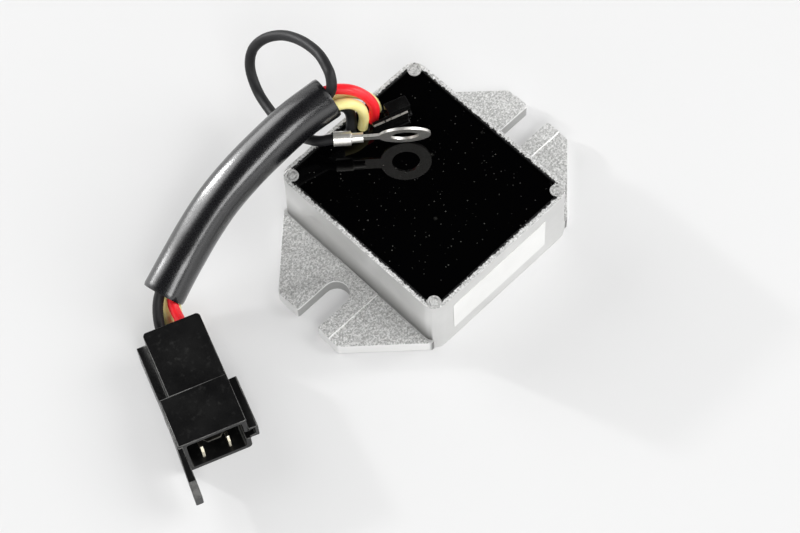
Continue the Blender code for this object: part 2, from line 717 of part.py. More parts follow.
def build_blades(mount):
    tinned = material("blade", (0.82, 0.79, 0.72), 0.25, 1.0)
    crimps = crimp_spans()
    for name, (across, up) in blade_spans().items():
        tip = BLADE_TOP_TIP if name == "top" else BLADE_TIP
        plate = box((CRIMP_START, tip), across, up)
        thin = (lambda a, b: abs(a.z - b.z) > 1e-5) if name == "top" else (lambda a, b: abs(a.y - b.y) > 1e-5)
        round_edges(plate, lambda a, b: min(a.x, b.x) > tip - BLADE_TAPER and thin(a, b), BLADE_TAPER, 1)
        blade = make_object(f"blade_{name}", plate, tinned, mount)
        crimp = box((CRIMP_START, CRIMP_START + CRIMP_LENGTH), *crimps[name])
        round_edges(crimp, lengthwise, CRIMP_ROUND * 0.6, 3)
        boolean(blade, make_object(f"crimp {name}", crimp, None, mount), "UNION")


def build_plug():
    black = material("plug", (0.018, 0.018, 0.020), 0.42)
    mount = make_empty("plug_mount", PLUG_AT, (0, 0, PLUG_TURN))
    body = box((BODY_REAR, HOOD_END - HOOD_SLANT * 2), (BODY_LEFT, BODY_RIGHT), (0, BODY_HEIGHT))
    round_edges(body, lambda a, b: (a.x < 1e-4 and b.x < 1e-4 and upright(a, b)), BODY_CORNER, 4)
    plug = make_object("plug_housing", body, black, mount)
    hood = box((BODY_LENGTH, HOOD_END), (HOOD_LEFT, BODY_RIGHT), (0, HOOD_HEIGHT))
    for vert in hood.verts:
        if vert.co.x > HOOD_END - HOOD_SLANT and vert.co.z > HOOD_HEIGHT / 2:
            vert.co.x -= HOOD_SLANT
        if vert.co.x < BODY_LENGTH + HOOD_SLANT and vert.co.z > HOOD_HEIGHT / 2:
            vert.co.x += HOOD_SLANT
    round_edges(hood, lambda a, b: lengthwise(a, b) and min(a.z, b.z) < HOOD_HEIGHT / 2 and a.y > 0, HOOD_CORNER, 3)
    finger = box((FINGER_START, FINGER_END), (FINGER_LEFT, FINGER_LEFT + FINGER_WIDTH), (FINGER_BOTTOM, FINGER_TOP))
    for vert in finger.verts:
        if vert.co.x < FINGER_START + FINGER_WIDTH:
            vert.co.y = max(vert.co.y, HOOD_LEFT)
    round_edges(finger, lambda a, b: min(a.x, b.x) > FINGER_END - 1e-4 and abs(a.z - b.z) < 1e-4
                and a.z > FINGER_BOTTOM + 1e-4, FINGER_RAMP, 1)
    rail = box((RAIL_START, BODY_LENGTH + HOOD_SLANT * 2), (RAIL_LEFT, BODY_LEFT + WALL_LEFT), (0, RAIL_HEIGHT))
    channel = box((CHANNEL_START, CHANNEL_END), (BODY_RIGHT - WALL_RIGHT, CHANNEL_RIGHT),
                  (CHANNEL_BOTTOM, CHANNEL_TOP))
    round_edges(channel, lambda a, b: lengthwise(a, b) and a.y > BODY_RIGHT, CHANNEL_WALL / 2, 3)
    for bm, name in ((hood, "hood"), (finger, "finger"), (rail, "rail"), (channel, "channel")):
        boolean(plug, make_object(name, bm, None, mount), "UNION")
    deep = HOOD_END + HOOD_SLANT
    mouth = box((MOUTH_FLOOR, deep), (HOOD_LEFT + WALL_LEFT, BODY_RIGHT - WALL_RIGHT),
                (WALL_BOTTOM, HOOD_HEIGHT - WALL_TOP))
    round_edges(mouth, lengthwise, HOOD_CORNER / 2, 2)
    slot = box((CHANNEL_START + CHANNEL_WALL, deep), (BODY_RIGHT - WALL_RIGHT * 2, CHANNEL_RIGHT - CHANNEL_WALL),
               (CHANNEL_BOTTOM + CHANNEL_WALL, CHANNEL_TOP - CHANNEL_WALL))
    cuts = [(mouth, "mouth"), (slot, "channel slot")]
    crimps = crimp_spans()
    for name, (across, up) in blade_spans().items():
        cuts.append((box((CRIMP_START - FIT, MOUTH_FLOOR + FIT), grown(across, FIT), grown(up, FIT)), f"way {name}"))
        cuts.append((box((CRIMP_START - FIT, CRIMP_START + CRIMP_LENGTH + FIT), grown(crimps[name][0], FIT),
                         grown(crimps[name][1], FIT)), f"crimp way {name}"))
    for name, (across, up) in ENTRIES.items():
        bore = rod((-BODY_CORNER, across, up), (CRIMP_START, across, up), LEAD_RADIUS + FIT, 16)
        cuts.append((bore, f"bore {name}"))
    for bm, name in cuts:
        boolean(plug, make_object(name, bm, None, mount), "DIFFERENCE")
    build_blades(mount)


clear_scene()
PART = new_collection("voltage regulator rectifier")
HELPERS = new_collection("cutters and helpers", hidden=True)
build_case()
build_label()
build_board()
build_small_parts()
build_potting()
build_leads()
build_ring_terminal()
build_plug()
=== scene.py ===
# %% [markdown]
# # Voltage regulator rectifier
# A small engine part from above: a cast aluminium case filled with glossy black compound, five leads,
# a soft black sleeve, a three-way plug and a ring terminal. The solid model gives every size. Here each
# visible piece gets its fine surface and its finish. We start by loading that model and keeping its box,
# because nothing that we add may grow past it.

# %% Load the solid model
import math

import bmesh
import bpy
import numpy as np
from mathutils import Matrix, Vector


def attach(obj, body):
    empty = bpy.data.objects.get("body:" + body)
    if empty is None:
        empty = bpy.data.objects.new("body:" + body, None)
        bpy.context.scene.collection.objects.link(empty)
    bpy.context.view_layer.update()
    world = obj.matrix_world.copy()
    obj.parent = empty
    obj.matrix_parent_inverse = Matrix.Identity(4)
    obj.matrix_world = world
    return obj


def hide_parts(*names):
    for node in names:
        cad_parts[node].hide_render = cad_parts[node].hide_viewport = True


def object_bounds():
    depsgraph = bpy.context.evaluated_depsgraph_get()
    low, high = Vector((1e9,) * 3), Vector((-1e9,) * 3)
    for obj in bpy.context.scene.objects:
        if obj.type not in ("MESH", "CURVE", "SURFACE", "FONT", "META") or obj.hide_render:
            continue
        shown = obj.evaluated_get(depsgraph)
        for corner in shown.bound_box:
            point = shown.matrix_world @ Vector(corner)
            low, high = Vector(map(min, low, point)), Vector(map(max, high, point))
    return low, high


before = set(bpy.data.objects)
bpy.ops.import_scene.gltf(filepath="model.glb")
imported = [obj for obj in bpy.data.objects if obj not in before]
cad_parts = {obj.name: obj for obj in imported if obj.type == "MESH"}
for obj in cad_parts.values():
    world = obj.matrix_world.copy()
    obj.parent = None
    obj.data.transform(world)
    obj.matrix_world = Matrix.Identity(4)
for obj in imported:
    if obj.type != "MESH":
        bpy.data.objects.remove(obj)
cad_box = [[float(c) for c in corner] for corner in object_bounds()]
print("the model's box:", cad_box)

# %% [markdown]
# ## The camera
# The picture is taken with a long lens from above and in front of the plug. A long lens keeps the case's
# edges nearly parallel. We give the direction from the object to the camera by two angles and then turn
# the camera a little about its own axis, because the horizon isn't quite level. A camera and a lamp both
# look along their own -Z, so the lamps use the same two helpers later.

# %% Camera
LOOK_AT = np.array([-0.016096, -0.005279, 0.0])
HEADING = math.radians(228.359)
ELEVATION = math.radians(63.119)
ROLL = math.radians(-3.476)
DISTANCE = 0.673836
LENS = 100.522
SENSOR = 36.0
UPWARDS = [0.0, 0.0, 1.0]


def unit(vector):
    """The vector divided by its own length."""
    return vector / np.linalg.norm(vector)


def towards(heading, elevation):
    """The direction (cos e cos h, cos e sin h, sin e) for a heading h and an elevation e in radians."""
    return np.array([math.cos(elevation) * math.cos(heading), math.cos(elevation) * math.sin(heading),
                     math.sin(elevation)])


def placed(x_axis, y_axis, z_axis, origin):
    """The 4 by 4 matrix whose columns are three axes and an origin."""
    rows = [[float(column[row]) for column in (x_axis, y_axis, z_axis, origin)] for row in range(3)]
    return Matrix(rows + [[0.0, 0.0, 0.0, 1.0]])


away = towards(HEADING, ELEVATION)
level_right = unit(np.cross(-away, UPWARDS))
level_up = np.cross(level_right, -away)
right = math.cos(ROLL) * level_right + math.sin(ROLL) * level_up
up = math.cos(ROLL) * level_up - math.sin(ROLL) * level_right
camera = bpy.data.objects.new("camera", bpy.data.cameras.new("camera"))
bpy.context.scene.collection.objects.link(camera)
camera.matrix_world = placed(right, up, away, LOOK_AT + away * DISTANCE)
camera.data.sensor_width = SENSOR
camera.data.lens = LENS
camera.data.clip_start = 0.01
bpy.context.scene.camera = camera
print("camera at", [round(c, 4) for c in camera.location])

# %% [markdown]
# ## Surfaces from grids
# A new piece is a grid of points, rows by columns, worked out with numpy and joined into quads. A closed
# row or column wraps round, and an open end can be closed with one fan. Merging and recalculating the
# normals afterwards makes sure that the faces point out.

# %% Grid helpers
def link_object(name, mesh, materials=()):
    obj = bpy.data.objects.new(name, mesh)
    bpy.context.scene.collection.objects.link(obj)
    for item in materials:
        mesh.materials.append(item)
    return obj


def grid_quads(rows, columns, wrap_rows, wrap_columns):
    """Quads between neighbours of a rows by columns grid. A wrapped direction joins its last line to its
    first."""
    i = np.arange(rows if wrap_rows else rows - 1)[:, None]
    j = np.arange(columns if wrap_columns else columns - 1)[None, :]
    i2 = (i + 1) % rows
    j2 = (j + 1) % columns
    corners = [i * columns + j, i * columns + j2, i2 * columns + j2, i2 * columns + j]
    return np.stack([np.broadcast_to(c, (i.size, j.size)) for c in corners], axis=-1).reshape(-1, 4)


def grid_mesh(name, grid, wrap_rows=False, wrap_columns=False, fans=()):
    """A mesh from a (rows, columns, 3) grid. fans lists row numbers that are closed with one polygon each."""
    rows, columns, _ = grid.shape
    faces = grid_quads(rows, columns, wrap_rows, wrap_columns).tolist()
    for row in fans:
        faces.append([(row % rows) * columns + j for j in range(columns)])
    mesh = bpy.data.meshes.new(name)
    mesh.from_pydata(grid.reshape(-1, 3).tolist(), [], faces)
    return mesh


def tidy_mesh(mesh, merge=1e-6, smooth_angle=40.0):
    """Merges doubles, points the faces outwards and shades them smooth below an angle."""
    bm = bmesh.new()
    bm.from_mesh(mesh)
    bmesh.ops.remove_doubles(bm, verts=bm.verts, dist=merge)
    bmesh.ops.recalc_face_normals(bm, faces=bm.faces)
    for face in bm.faces:
        face.smooth = True
    bm.to_mesh(mesh)
    bm.free()
    mesh.set_sharp_from_angle(angle=math.radians(smooth_angle))


# %% [markdown]
# ## Tubes along a path
# Leads and sleeve are circles carried along a path. At each station the circle needs two directions square
# to the path. If each pair is turned as little as possible from the one before, the tube doesn't twist.
# The finish has to follow the tube, so it gets a UV map in millimetres: along it, and round it.

# %% Tube helpers
def path_frames(path):
    """Tangent, side and top at each station: the side is the last one with its part along the tangent taken
    out, and the top is tangent x side."""
    tangents = np.gradient(path, axis=0)
    tangents /= np.linalg.norm(tangents, axis=1)[:, None]
    start = np.array(UPWARDS) if abs(tangents[0][2]) < 0.9 else np.array([1.0, 0.0, 0.0])
    side = unit(np.cross(start, tangents[0]))
    sides = [side]
    for tangent in tangents[1:]:
        side = unit(side - tangent * (side @ tangent))
        sides.append(side)
    sides = np.array(sides)
    return tangents, sides, np.cross(tangents, sides)


def tube_grid(path, radius, columns):
    """Station + side * r cos(a) + top * r sin(a). radius is (stations,) or (stations, columns)."""
    tangents, sides, tops = path_frames(path)
    angle = np.linspace(0, 2 * np.pi, columns, endpoint=False)
    radius = np.broadcast_to(np.asarray(radius, float).reshape(len(path), -1), (len(path), columns))
    across = radius * np.cos(angle)
    above = radius * np.sin(angle)
    return path[:, None] + across[..., None] * sides[:, None] + above[..., None] * tops[:, None]


def add_skin_uv(mesh, steps, columns, radius):
    """U is the distance along the tube, one of steps for each row, and V is radius * angle, both in mm."""
    around = np.linspace(0, 2 * np.pi, columns, endpoint=False) * radius * 1000
    uv = np.stack([np.repeat(steps, columns), np.tile(around, len(steps))], axis=-1)
    corners = np.empty(len(mesh.loops), dtype=np.int32)
    mesh.loops.foreach_get("vertex_index", corners)
    mesh.uv_layers.new(name="skin").data.foreach_set("uv", uv[corners].astype(np.float32).ravel())


def wobble(share, seed, waves=6, lowest=3.0):
    """A smooth pseudo-random line, nearly from -1 to 1: the sum of sin(2 pi lowest k share + phase) / k for
    k = 1 to waves, with seeded phases."""
    source = np.random.default_rng(seed)
    total = np.zeros_like(share, dtype=float)
    for k in range(waves):
        total += np.sin(share * lowest * (k + 1) * 2 * np.pi + source.uniform(0, 2 * np.pi)) / (k + 1)
    return total / 2.3


def path_length(path):
    """The sum of the distances between neighbours."""
    return float(np.linalg.norm(np.diff(path, axis=0), axis=1).sum())


# %% [markdown]
# ## Where the leads run
# Each lead starts in the plug, keeps a lane of its own inside the sleeve, comes out of the sleeve's mouth
# and bends down into the compound. The loose black one makes a loop and ends in the ring terminal. The
# sleeve's centre line is a smooth curve through listed points. A lane is a distance from that line
# and an angle about it, which change slowly along the way.

# %% Listed points
LEAD_RADIUS = 0.0016
LEAD_STEP = 0.0025
LEAD_DEPTH = 0.0082
STRAIGHT_OUT = 0.0012
PLUG_AT = np.array([-0.0826, 0.0233, 0.0])
PLUG_TURN = math.radians(-111.3)
SPINE = [(-0.0750, 0.0343, 0.0100), (-0.0645, 0.0368, 0.0148), (-0.0555, 0.0382, 0.0200),
         (-0.0464, 0.0389, 0.0250), (-0.0366, 0.0387, 0.0295), (-0.0261, 0.0380, 0.0330),
         (-0.0155, 0.0369, 0.0362), (-0.0044, 0.0351, 0.0380)]
# share of the sleeve's length, distance from the centre line, angle in degrees
LANES = {
    "black": [(0, 0.0032, 451), (0.15, 0.0039, 446), (0.40, 0.0039, 446), (0.82, 0.0036, 615),
              (1, 0.0038, 612)],
    "red": [(0, 0.0035, 158), (0.18, 0.0040, 160), (0.38, 0, 160), (0.39, 0, 33), (0.80, 0, 33),
            (1, 0.0036, 33)],
    "yellow_front": [(0, 0.0004, 250), (0.06, 0.0006, 300), (0.22, 0.0040, 360), (0.40, 0.0040, 360),
                     (0.82, 0.0036, 545), (1, 0.0036, 545)],
    "yellow_rear": [(0, 0.0040, 220), (0.10, 0.0040, 214), (0.40, 0.0040, 214), (0.82, 0.0036, 325),
                    (1, 0.0036, 325)],
    "ground": [(0, 0.0039, 276), (0.12, 0.0040, 267), (0.40, 0.0040, 268), (0.82, 0.0036, 465),
               (1, 0.0035, 465)],
}
# the shares between which a lead keeps to its lane
LANE_SPANS = {"black": (0, 0.95), "red": (0.015, 0.93), "yellow_front": (0, 0.93),
              "yellow_rear": (0.015, 0.92), "ground": (0, 0.92)}
# across and above, in the plug's own directions
ENTRIES = {"black": (-0.0018, 0.0070), "ground": (-0.0023, 0.0031), "yellow_front": (0.0015, 0.0056),
           "yellow_rear": (0.0047, 0.0034), "red": (0.0047, 0.0098)}
# from the sleeve's mouth on
ROUTES = {
    "black": [(-0.0030, 0.0324, 0.0342), (-0.0010, 0.0312, 0.0322), (-0.0008, 0.0297, 0.0285),
              (-0.0021, 0.0286, 0.0250), (-0.0022, 0.0285, 0.0210), (-0.0022, 0.0285, 0.0119)],
    "yellow_front": [(-0.0040, 0.0310, 0.0378), (-0.0012, 0.0293, 0.0372), (0.0012, 0.0275, 0.0340),
                     (0.0015, 0.0266, 0.0293), (0.0007, 0.0265, 0.0250), (0.0006, 0.0265, 0.0210),
                     (0.0006, 0.0265, 0.0119)],
    "yellow_rear": [(-0.0010, 0.0345, 0.0358), (0.0026, 0.0325, 0.0350), (0.0060, 0.0304, 0.0318),
                    (0.0077, 0.0289, 0.0280), (0.0079, 0.0280, 0.0250), (0.0078, 0.0280, 0.0210),
                    (0.0078, 0.0280, 0.0119)],
    "red": [(-0.0018, 0.0347, 0.0398), (0.0014, 0.0312, 0.0397), (0.0041, 0.0281, 0.0365),
            (0.0053, 0.0260, 0.0310), (0.0046, 0.0260, 0.0250), (0.0045, 0.0260, 0.0210),
            (0.0045, 0.0260, 0.0119)],
    "ground": [(-0.0046, 0.0339, 0.0419), (-0.0033, 0.0342, 0.0451),
               (-0.0020, 0.0361, 0.0469), (-0.0006, 0.0395, 0.0471), (0.0006, 0.0434, 0.0465),
               (0.0013, 0.0482, 0.0450), (0.0014, 0.0548, 0.0420), (0.0002, 0.0616, 0.0375),
               (-0.0024, 0.0661, 0.0330), (-0.0053, 0.0682, 0.0280), (-0.0079, 0.0670, 0.0230),
               (-0.0104, 0.0618, 0.0190), (-0.0127, 0.0533, 0.0188), (-0.0148, 0.0424, 0.0225),
               (-0.0149, 0.0345, 0.0274), (-0.0134, 0.0289, 0.0309), (-0.01133, 0.02665, 0.0320),
               (-0.00958, 0.02511, 0.0320), (-0.00803, 0.02376, 0.0320)],
}
LEAD_FEET = {lead: points[-1][:2] for lead, points in ROUTES.items() if lead != "ground"}
print("leads that end in the compound:", list(LEAD_FEET))

# %% [markdown]
# A smooth curve has to pass through every listed point without swinging out between them. A cubic for
# each span does it, if the slope at a point leans towards that of the shorter span.

# %% Lead routes
LANE_STEP = 0.001
LANE_POINTS = 17


def flowing(points, step):
    """A smooth curve through the points. Each span is a cubic, and the slope at a point is a mean of the two
    spans that meet there, in which the shorter span counts for more."""
    points = np.asarray(points, float)
    spans = np.linalg.norm(np.diff(points, axis=0), axis=1)
    slopes = np.diff(points, axis=0) / spans[:, None]
    before, after = spans[:-1, None], spans[1:, None]
    inner = (slopes[:-1] * after + slopes[1:] * before) / (before + after)
    ends = np.vstack([slopes[:1], inner, slopes[-1:]])
    curve = []
    for i, span in enumerate(spans):
        pieces = max(1, round(span / step))
        t = np.arange(pieces)[:, None] / pieces
        curve.append((2 * t ** 3 - 3 * t ** 2 + 1) * points[i] + (t ** 3 - 2 * t ** 2 + t) * span * ends[i]
                     + (3 * t ** 2 - 2 * t ** 3) * points[i + 1] + (t ** 3 - t ** 2) * span * ends[i + 1])
    curve.append(points[-1:])
    return np.vstack(curve)


def lane_points(lead):
    """A lead's points in the sleeve: centre line + side * r cos(a) + top * r sin(a), with r and a eased
    between the lane's keys by 3 t^2 - 2 t^3."""
    line = flowing(SPINE, LANE_STEP)
    shares = np.linspace(*LANE_SPANS[lead], LANE_POINTS)
    keys = np.array(LANES[lead], float)
    span = np.clip(np.searchsorted(keys[:, 0], shares, side="left") - 1, 0, len(keys) - 2)
    t = (shares - keys[span, 0]) / (keys[span + 1, 0] - keys[span, 0])
    t = t * t * (3 - 2 * t)
    radius = keys[span, 1] + (keys[span + 1, 1] - keys[span, 1]) * t
    angle = np.radians(keys[span, 2] + (keys[span + 1, 2] - keys[span, 2]) * t)
    at = shares * (len(line) - 1)
    low = np.minimum(at.astype(int), len(line) - 2)
    middle = line[low] + (line[low + 1] - line[low]) * (at - low)[:, None]
    along = line[np.minimum(low + 2, len(line) - 1)] - line[np.maximum(low - 1, 0)]
    along /= np.linalg.norm(along, axis=1)[:, None]
    side = np.cross(UPWARDS, along)
    side /= np.linalg.norm(side, axis=1)[:, None]
    top = np.cross(along, side)
    return middle + side * (radius * np.cos(angle))[:, None] + top * (radius * np.sin(angle))[:, None]


def plug_point(along, across, above):
    """A point given in the plug's own frame: along from the wire end, across, and above the floor."""
    c, s = math.cos(PLUG_TURN), math.sin(PLUG_TURN)
    return PLUG_AT + np.array([c * along - s * across, s * along + c * across, above])


def lead_route(lead):
    """The whole route: straight out of the plug, then the lane, then the listed points."""
    depths = (LEAD_DEPTH, LEAD_DEPTH / 2, 0.0, -STRAIGHT_OUT)
    inside = [plug_point(depth, *ENTRIES[lead]) for depth in depths]
    return flowing(np.vstack([inside, lane_points(lead), ROUTES[lead]]), LEAD_STEP)


for lead in ROUTES:
    print(lead, "lead:", round(path_length(lead_route(lead)) * 1000, 1), "mm")

# %% [markdown]
# ## Finishes
# A finish is a small network of nodes on a Principled shader. Most need the same three things: a base
# colour and a roughness that vary a little, and a fine bump. One helper makes them from noise in object
# coordinates, so that the pattern stays on the piece.

# %% Finish helpers
def new_finish(name, colour, roughness, metallic=0.0, specular=0.5):
    made = bpy.data.materials.new(name)
    made.use_nodes = True
    shader = made.node_tree.nodes["Principled BSDF"]
    shader.inputs["Base Color"].default_value = (*colour, 1.0)
    shader.inputs["Roughness"].default_value = roughness
    shader.inputs["Metallic"].default_value = metallic
    shader.inputs["Specular IOR Level"].default_value = specular
    return made, made.node_tree, shader


def add_node(tree, kind, inputs=None, **settings):
    """A node whose inputs are either linked to a socket or set to a value."""
    node = tree.nodes.new(kind)
    for key, value in settings.items():
        setattr(node, key, value)
    for key, value in (inputs or {}).items():
        if isinstance(value, bpy.types.NodeSocket):
            tree.links.new(value, node.inputs[key])
        else:
            node.inputs[key].default_value = value
    return node


def object_coordinates(tree):
    return add_node(tree, "ShaderNodeTexCoord").outputs["Object"]


def axes_of(tree, vector):
    return add_node(tree, "ShaderNodeSeparateXYZ", {"Vector": vector}).outputs


def noise(tree, where, scale, detail=3.0, roughness=0.55):
    return add_node(tree, "ShaderNodeTexNoise", {"Vector": where, "Scale": scale, "Detail": detail,
                                                 "Roughness": roughness}).outputs["Fac"]


def ramp(tree, value, low, high, to_low=0.0, to_high=1.0):
    """value from low..high mapped to to_low..to_high and held there."""
    return add_node(tree, "ShaderNodeMapRange", {0: value, 1: low, 2: high, 3: to_low, 4: to_high},
                    clamp=True).outputs[0]


def sums(tree, operation, a, b=0.0, c=0.0):
    """One step of arithmetic on sockets or numbers."""
    return add_node(tree, "ShaderNodeMath", {0: a, 1: b, 2: c}, operation=operation).outputs[0]


def times(tree, first, *others):
    """All the values multiplied, from left to right."""
    for other in others:
        first = sums(tree, "MULTIPLY", first, other)
    return first


def rest_of(tree, share):
    """1 - share."""
    return sums(tree, "SUBTRACT", 1.0, share)


def mixed(tree, share, a, b):
    """Colour a where share is 0 and colour b where it is 1."""
    node = add_node(tree, "ShaderNodeMix", data_type="RGBA")
    for socket, value in ((node.inputs[0], share), (node.inputs[6], a), (node.inputs[7], b)):
        if isinstance(value, bpy.types.NodeSocket):
            tree.links.new(value, socket)
        else:
            socket.default_value = value if isinstance(value, float) else (*value, 1.0)
    return node.outputs[2]


def feed(tree, shader, **sockets):
    """Links sockets to the shader's inputs; Base_Color stands for Base Color."""
    for key, socket in sockets.items():
        tree.links.new(socket, shader.inputs[key.replace("_", " ")])


def bump(tree, shader, height, distance, strength=1.0):
    node = add_node(tree, "ShaderNodeBump", {"Height": height, "Distance": distance, "Strength": strength})
    feed(tree, shader, Normal=node.outputs["Normal"])


def varied(name, colour, other, roughness, spread, scale, grain, depth, specular=0.5):
    """A finish whose colour runs between two values in soft patches of a scale, with a fine grain of a
    depth in its bump. The roughness varies by spread to either side."""
    made, tree, shader = new_finish(name, colour, roughness, 0.0, specular)
    where = object_coordinates(tree)
    patches = ramp(tree, noise(tree, where, scale), 0.35, 0.65)
    fine = noise(tree, where, grain, 4.0, 0.6)
    feed(tree, shader, Base_Color=mixed(tree, patches, colour, other),
         Roughness=ramp(tree, fine, 0.3, 0.7, roughness - spread, roughness + spread))
    bump(tree, shader, fine, depth)
    return made


# %% [markdown]
# ## Wire insulation and the sleeve's vinyl
# Extruded insulation is smooth and half-glossy, with faint scuffs and dust. The pattern follows the wire,
# so it reads the tube's own UV map, in which one unit is one millimetre. The sleeve's soft vinyl gets a
# thin coat besides, for a second highlight.

# %% Insulation finish
def insulation(name, colour, other, roughness, specular=0.5):
    made, tree, shader = new_finish(name, colour, roughness, 0.0, specular)
    along = add_node(tree, "ShaderNodeUVMap", uv_map="skin").outputs["UV"]
    stretched = add_node(tree, "ShaderNodeMapping", {"Vector": along, "Scale": (0.35, 1.3, 1.0)}).outputs[0]
    patches = ramp(tree, noise(tree, stretched, 0.9, 3.0), 0.35, 0.7)
    scuffs = noise(tree, stretched, 5.0, 4.0, 0.65)
    feed(tree, shader, Base_Color=mixed(tree, patches, colour, other),
         Roughness=ramp(tree, scuffs, 0.35, 0.75, roughness - 0.04, roughness + 0.10))
    bump(tree, shader, scuffs, 0.00002)
    return made


black_skin = insulation("black insulation", (0.006, 0.006, 0.007), (0.014, 0.014, 0.015), 0.48, 0.32)
red_skin = insulation("red insulation", (0.90, 0.012, 0.022), (0.94, 0.024, 0.034), 0.34)
yellow_skin = insulation("yellow insulation", (0.93, 0.82, 0.30), (0.96, 0.87, 0.42), 0.34)
vinyl = insulation("sleeve vinyl", (0.004, 0.004, 0.005), (0.008, 0.008, 0.009), 0.25, 0.60)
vinyl_shader = vinyl.node_tree.nodes["Principled BSDF"]
for socket, value in (("Coat Weight", 0.45), ("Coat IOR", 1.6), ("Coat Roughness", 0.20)):
    vinyl_shader.inputs[socket].default_value = value
print("insulation finishes made")

# %% [markdown]
# ## The five leads
# A lead is a circle carried along its route, with each end closed. Real insulation isn't a perfect
# cylinder, so its radius changes by about one part in a hundred along the way. The loop reaches the solid
# model's box, so each route is held inside it by a little more than the lead's radius.

# %% Leads
LEAD_SIDES = 28
LEAD_FINE_STEP = 0.0006
LEAD_WAVE = 0.008
WIDEST = 1.012
FIRST_SEED = 40
LEADS = (("black", "black_lead", black_skin), ("yellow_front", "yellow_lead_front", yellow_skin),
         ("yellow_rear", "yellow_lead_rear", yellow_skin), ("red", "red_lead", red_skin),
         ("ground", "ground_lead", black_skin))


def make_tube(name, path, radius, columns, finish):
    """A closed tube: grid row i is the circle of radius[i] round station i, and both end rows get a fan."""
    mesh = grid_mesh(name, tube_grid(path, radius, columns), wrap_columns=True, fans=(0, -1))
    steps = np.concatenate([[0.0], np.cumsum(np.linalg.norm(np.diff(path, axis=0), axis=1))]) * 1000
    add_skin_uv(mesh, steps, columns, float(np.mean(radius)))
    tidy_mesh(mesh)
    return link_object(name, mesh, [finish])


highest = np.array(cad_box[1]) - WIDEST * LEAD_RADIUS
for number, (lead, node, skin) in enumerate(LEADS):
    route = np.minimum(flowing(lead_route(lead), LEAD_FINE_STEP), highest)
    wave = 1 + LEAD_WAVE * wobble(np.linspace(0, 1, len(route)), FIRST_SEED + number)
    piece = make_tube(node + "_skin", route, LEAD_RADIUS * wave, LEAD_SIDES, skin)
    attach(piece, "root")
    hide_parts(node)

# %% [markdown]
# ## The sleeve
# A soft tube has a thin wall, so it is a surface that runs along the outside, turns over at the mouth and
# comes back along the inside. One grid does all of it: the rows go out, round the lip and back, and wrap.
# The tube isn't quite round: it sags over the leads and is oval at its two mouths. Below the middle the
# side towards the loop is pressed nearly flat, and a flat side is what draws a broad streak of light.

# %% Sleeve
SLEEVE_RADIUS = 0.0066
SLEEVE_WALL = 0.0006
SLEEVE_SIDES = 72
SLEEVE_STEP = 0.0008


def bell(distance, width):
    """exp(-(distance / width)^2): 1 in the middle and nearly 0 from two widths on."""
    return np.exp(-(distance / width) ** 2)


def sleeve_radius(share, angle):
    """R * (0.975 + oval * cos 2a + waves + ridge) * flat side, at a share of the length and an angle a."""
    oval = 0.010 + 0.022 * bell(share, 0.06) + 0.018 * bell(1 - share, 0.05)
    waves = (0.006 * np.sin(2 * np.pi * share * 3 + 0.7) * np.cos(angle - 1.0)
             + 0.004 * np.sin(9 * share + 3 * angle))
    # a ridge runs from the plug's end and fades out at 0.72 of the length
    fading = 1 - 1 / (1 + np.exp(-(share - 0.72) / 0.06))
    ridge = 0.055 * bell(angle - np.radians(140 - 12 * share), 0.42) * fading
    flat = 1 - 0.105 * bell(share - 0.36, 0.22) * bell(angle - np.radians(68), 0.54)
    return SLEEVE_RADIUS * (0.975 + oval * np.cos(2 * angle) + waves * 0.6 + ridge) * flat


def sleeve_grid():
    """Rows out along the radius and back along the radius less the wall. The lip is rounded: two rows near
    each mouth are drawn in by a third of the wall."""
    line = flowing(SPINE, SLEEVE_STEP)
    share = np.linspace(0, 1, len(line))[:, None]
    radius = sleeve_radius(share, np.linspace(0, 2 * np.pi, SLEEVE_SIDES, endpoint=False)[None, :])
    lip = SLEEVE_WALL / 3
    outside, inside, soft_out, soft_in = [tube_grid(line, reach, SLEEVE_SIDES) for reach in (
        radius, radius - SLEEVE_WALL, radius - lip, radius - SLEEVE_WALL + lip)]
    return np.concatenate([soft_out[:1], outside[1:-1], soft_out[-1:],
                           soft_in[-1:], inside[1:-1][::-1], soft_in[:1]])


grid = sleeve_grid()
sleeve_mesh = grid_mesh("sleeve_skin", grid, wrap_rows=True, wrap_columns=True)
add_skin_uv(sleeve_mesh, np.arange(grid.shape[0]) * (SLEEVE_STEP * 1000), SLEEVE_SIDES, SLEEVE_RADIUS)
tidy_mesh(sleeve_mesh, smooth_angle=60)
sleeve = link_object("sleeve_skin", sleeve_mesh, [vinyl])
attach(sleeve, "root")
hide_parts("sleeve")
print("sleeve rows and columns:", grid.shape[:2])

# %% [markdown]
# ## Solid pieces with softened edges
# Castings and mouldings have small radii on every edge, and those radii catch the light. We copy the solid,
# merge its loose triangles, dissolve the flat ones into whole faces and let a Bevel modifier roll each sharp
# edge. The copy then stands for the solid. The plug has short edges close together, where the modifier
# would shrink every radius to nothing. There only the long edges get a weight, and the rest stay sharp.

# %% Softened copies
MERGE_WITHIN = 2e-6
FLAT_WITHIN = math.radians(1.0)
NEAR_FLOOR = 0.0030


def mark_long_edges(bm, angle, shortest):
    """Gives a bevel weight of 1 to each edge that is sharper than angle and longer than shortest, and that
    isn't on the floor or next to it."""
    weights = bm.edges.layers.float.new("bevel_weight_edge")
    for edge in bm.edges:
        clear = min(vertex.co.z for vertex in edge.verts) > NEAR_FLOOR
        if clear and len(edge.link_faces) == 2 and edge.calc_length() > shortest:
            edge[weights] = float(edge.calc_face_angle(0.0) > angle)


